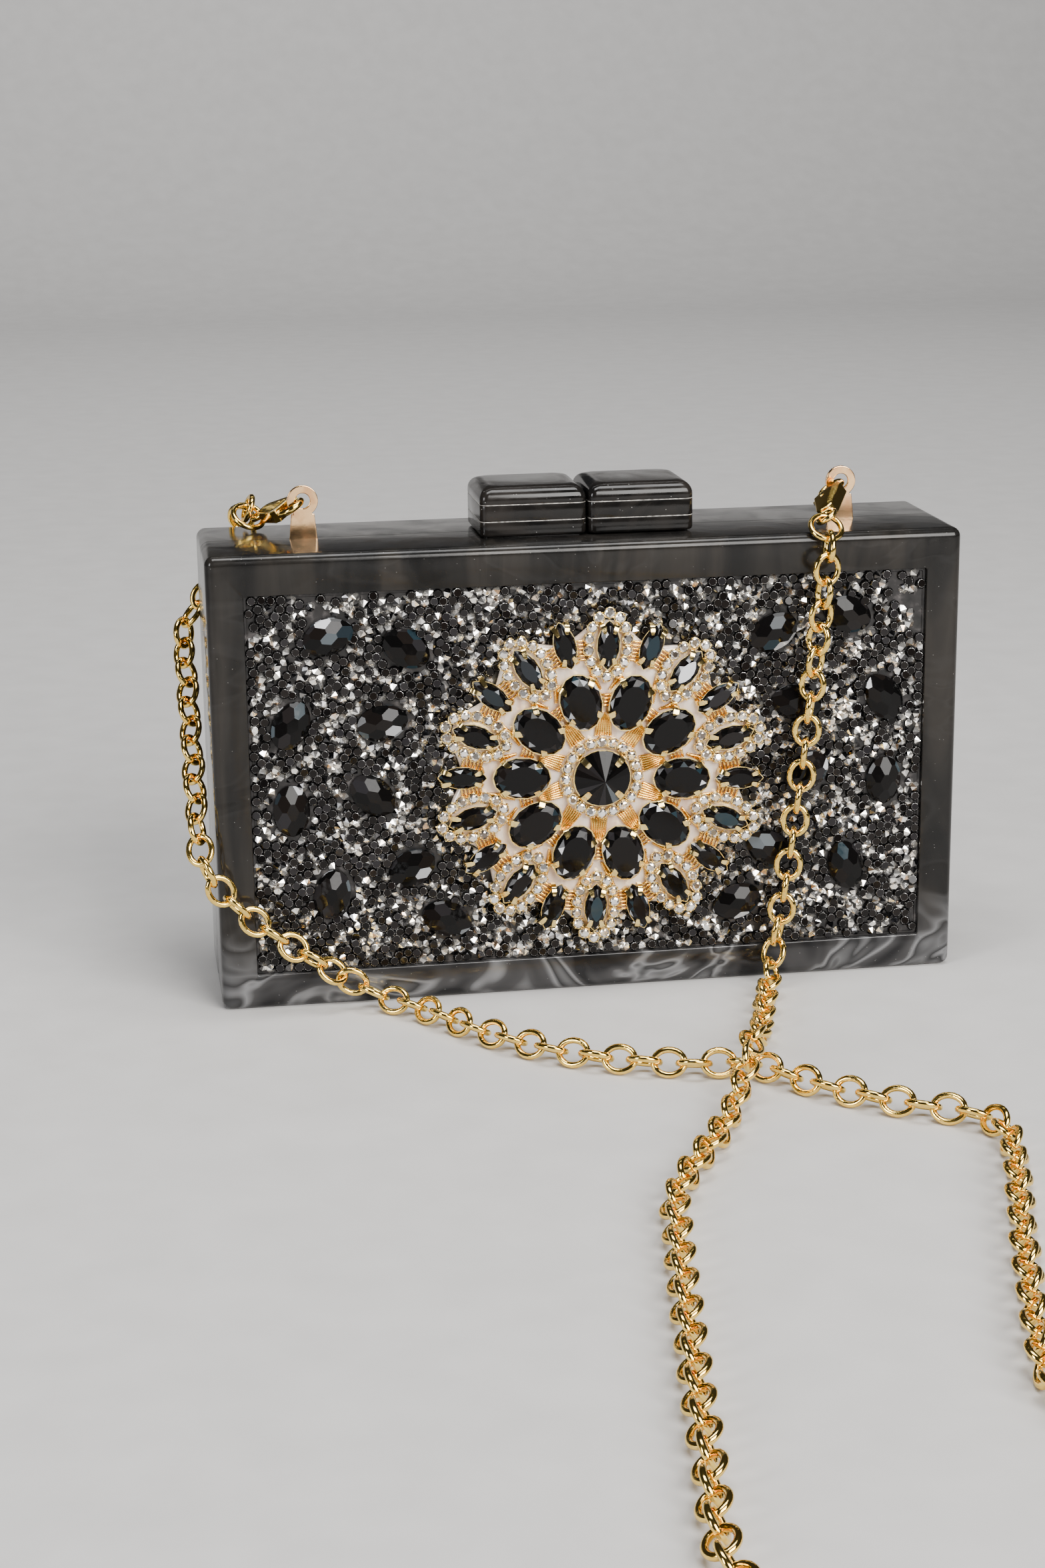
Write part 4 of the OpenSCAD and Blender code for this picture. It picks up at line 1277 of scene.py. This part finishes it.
# ------------------------------------------------------------------ linings and CAD nodes that stay


def make_lining(name, body, slot):
    """Flocked tray with round corners and a piped lip."""
    lo, hi = box_mm(name)
    front_half = body == FRONT
    y_lip, y_back = (hi[1], lo[1]) if front_half else (lo[1], hi[1])
    step = 1 if front_half else -1
    w, h = hi[0] - lo[0], hi[2] - lo[2]
    middle = ((lo[0] + hi[0]) / 2, (lo[2] + hi[2]) / 2)
    rings = []
    for inset, y in ((0, y_lip - step * 0.4), (0, y_back + step * 1.5), (0.5, y_back + step * 0.4),
                     (1.6, y_back)):
        rings.append(upright(rounded_rect(w - 2 * inset, h - 2 * inset, 4), y, middle))
    inner = []
    for inset, y in ((3.4, y_back + step * 1.0), (1.9, y_back + step * 1.4), (1.0, y_back + step * 2.6),
                     (1.0, y_lip - step * 0.4), (0.5, y_lip)):
        inner.append(upright(rounded_rect(w - 2 * inset, h - 2 * inset, 3.6), y, middle))
    outside, outside_faces = loft(rings, cap_start=False)
    inside, inside_faces = loft(inner, cap_end=False)
    n = len(rings[0])
    shift = len(outside)
    last = shift + (len(inner) - 1) * n
    lip = [(i, (i + 1) % n, last + (i + 1) % n, last + i) for i in range(n)]
    soup = Soup()
    soup.add(np.vstack([outside, inside]),
             outside_faces + [tuple(i + shift for i in f) for f in inside_faces] + lip)
    piece = soup.build(name + "_tray", [FLOCK], slot, body, (name,), sharp=50)
    flip_outwards(piece)


make_lining("front_lining", FRONT, "flocked_lining")
make_lining("back_lining", BACK, "flocked_lining")

KEPT = {
    "panel_backer": CARD, "front_hinge_leaf": BRASS, "back_hinge_leaf": BRASS, "hinge_pin": BRASS,
    "front_hinge_screws": BRASS, "back_hinge_screws": BRASS, "tab_rivets": BRASS, "catch_sleeve": BRASS,
    "catch_strike": BRASS, "catch_ball": STEEL, "left_trigger_spring": STEEL,
    "right_trigger_spring": STEEL, "left_trigger_pin": CHAIN_GOLD, "right_trigger_pin": CHAIN_GOLD
}
for kept_name, kept_material in KEPT.items():
    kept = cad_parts[kept_name]
    kept.data.materials.clear()
    kept.data.materials.append(kept_material)


def make_catch_spring():
    """The catch's coil, a steel copy of the CAD coil with its shape unchanged."""
    coil_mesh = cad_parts["catch_spring"].data.copy()
    coil_mesh.materials.clear()
    coil_mesh.materials.append(STEEL)
    spring = bpy.data.objects.new("catch_coil", coil_mesh)
    piece = place_piece(spring, FRONT, ("catch_spring",))
    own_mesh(piece)


make_catch_spring()

# ------------------------------------------------------------------ stage and light


def make_floor():
    """Plain pale floor that curves up into a low backdrop."""
    reach, bend, radius, steps = 8.0, 1.9, 0.6, 12
    profile = [(-reach, 0.0), (bend, 0.0)]
    for i in range(1, steps + 1):
        a = math.radians(90 * i / steps)
        profile.append((bend + radius * math.sin(a), radius * (1 - math.cos(a))))
    verts = [(x, y, z) for x in (-reach, reach) for y, z in profile]
    n = len(profile)
    faces = [(i, i + n, i + n + 1, i + 1) for i in range(n - 1)]
    mesh = bpy.data.meshes.new("floor")
    mesh.from_pydata(verts, [], faces)
    mesh.polygons.foreach_set("use_smooth", [True] * len(faces))
    mat, shader = new_material("floor", (0.55, 0.54, 0.53), 0.75)
    grain = noise(mat, coordinates(mat), 60.0, 4.0)
    link(mat, ramp(mat, grain, [(0.3, (0.53, 0.52, 0.51)), (0.7, (0.57, 0.56, 0.55))]),
         shader.inputs["Base Color"])
    mesh.materials.append(mat)
    floor = bpy.data.objects.new("floor", mesh)
    bpy.context.scene.collection.objects.link(floor)


def area_light(name, place, target, size, power, color=(1, 1, 1)):
    data = bpy.data.lights.new(name, "AREA")
    data.shape = "RECTANGLE"
    data.size, data.size_y = size
    data.energy = power
    data.color = color
    lamp = bpy.data.objects.new(name, data)
    bpy.context.scene.collection.objects.link(lamp)
    lamp.location = place
    lamp.rotation_euler = (Vector(target) - Vector(place)).to_track_quat("-Z", "Y").to_euler()


def make_light():
    """Overhead softbox, a high key from the front right and a low one from the left, in a dark room."""
    world = bpy.data.worlds.new("room")
    bpy.context.scene.world = world
    world.use_nodes = True
    world.node_tree.nodes["Background"].inputs["Color"].default_value = (0.035, 0.035, 0.037, 1)
    area_light("overhead", (0.0, -0.15, 1.2), (0, 0, 0.06), (0.8, 0.45), 13)
    area_light("key", (0.55, -1.25, 0.85), (0, 0, 0.06), (1.0, 0.85), 42, (1, 0.98, 0.95))
    area_light("side", (-1.2, -0.75, 0.55), (0, 0, 0.06), (0.35, 0.6), 11, (0.97, 0.98, 1))
    area_light("backdrop", (0.0, 0.9, 1.6), (0, 2.4, 0.5), (1.6, 0.5), 28)


make_floor()
make_light()
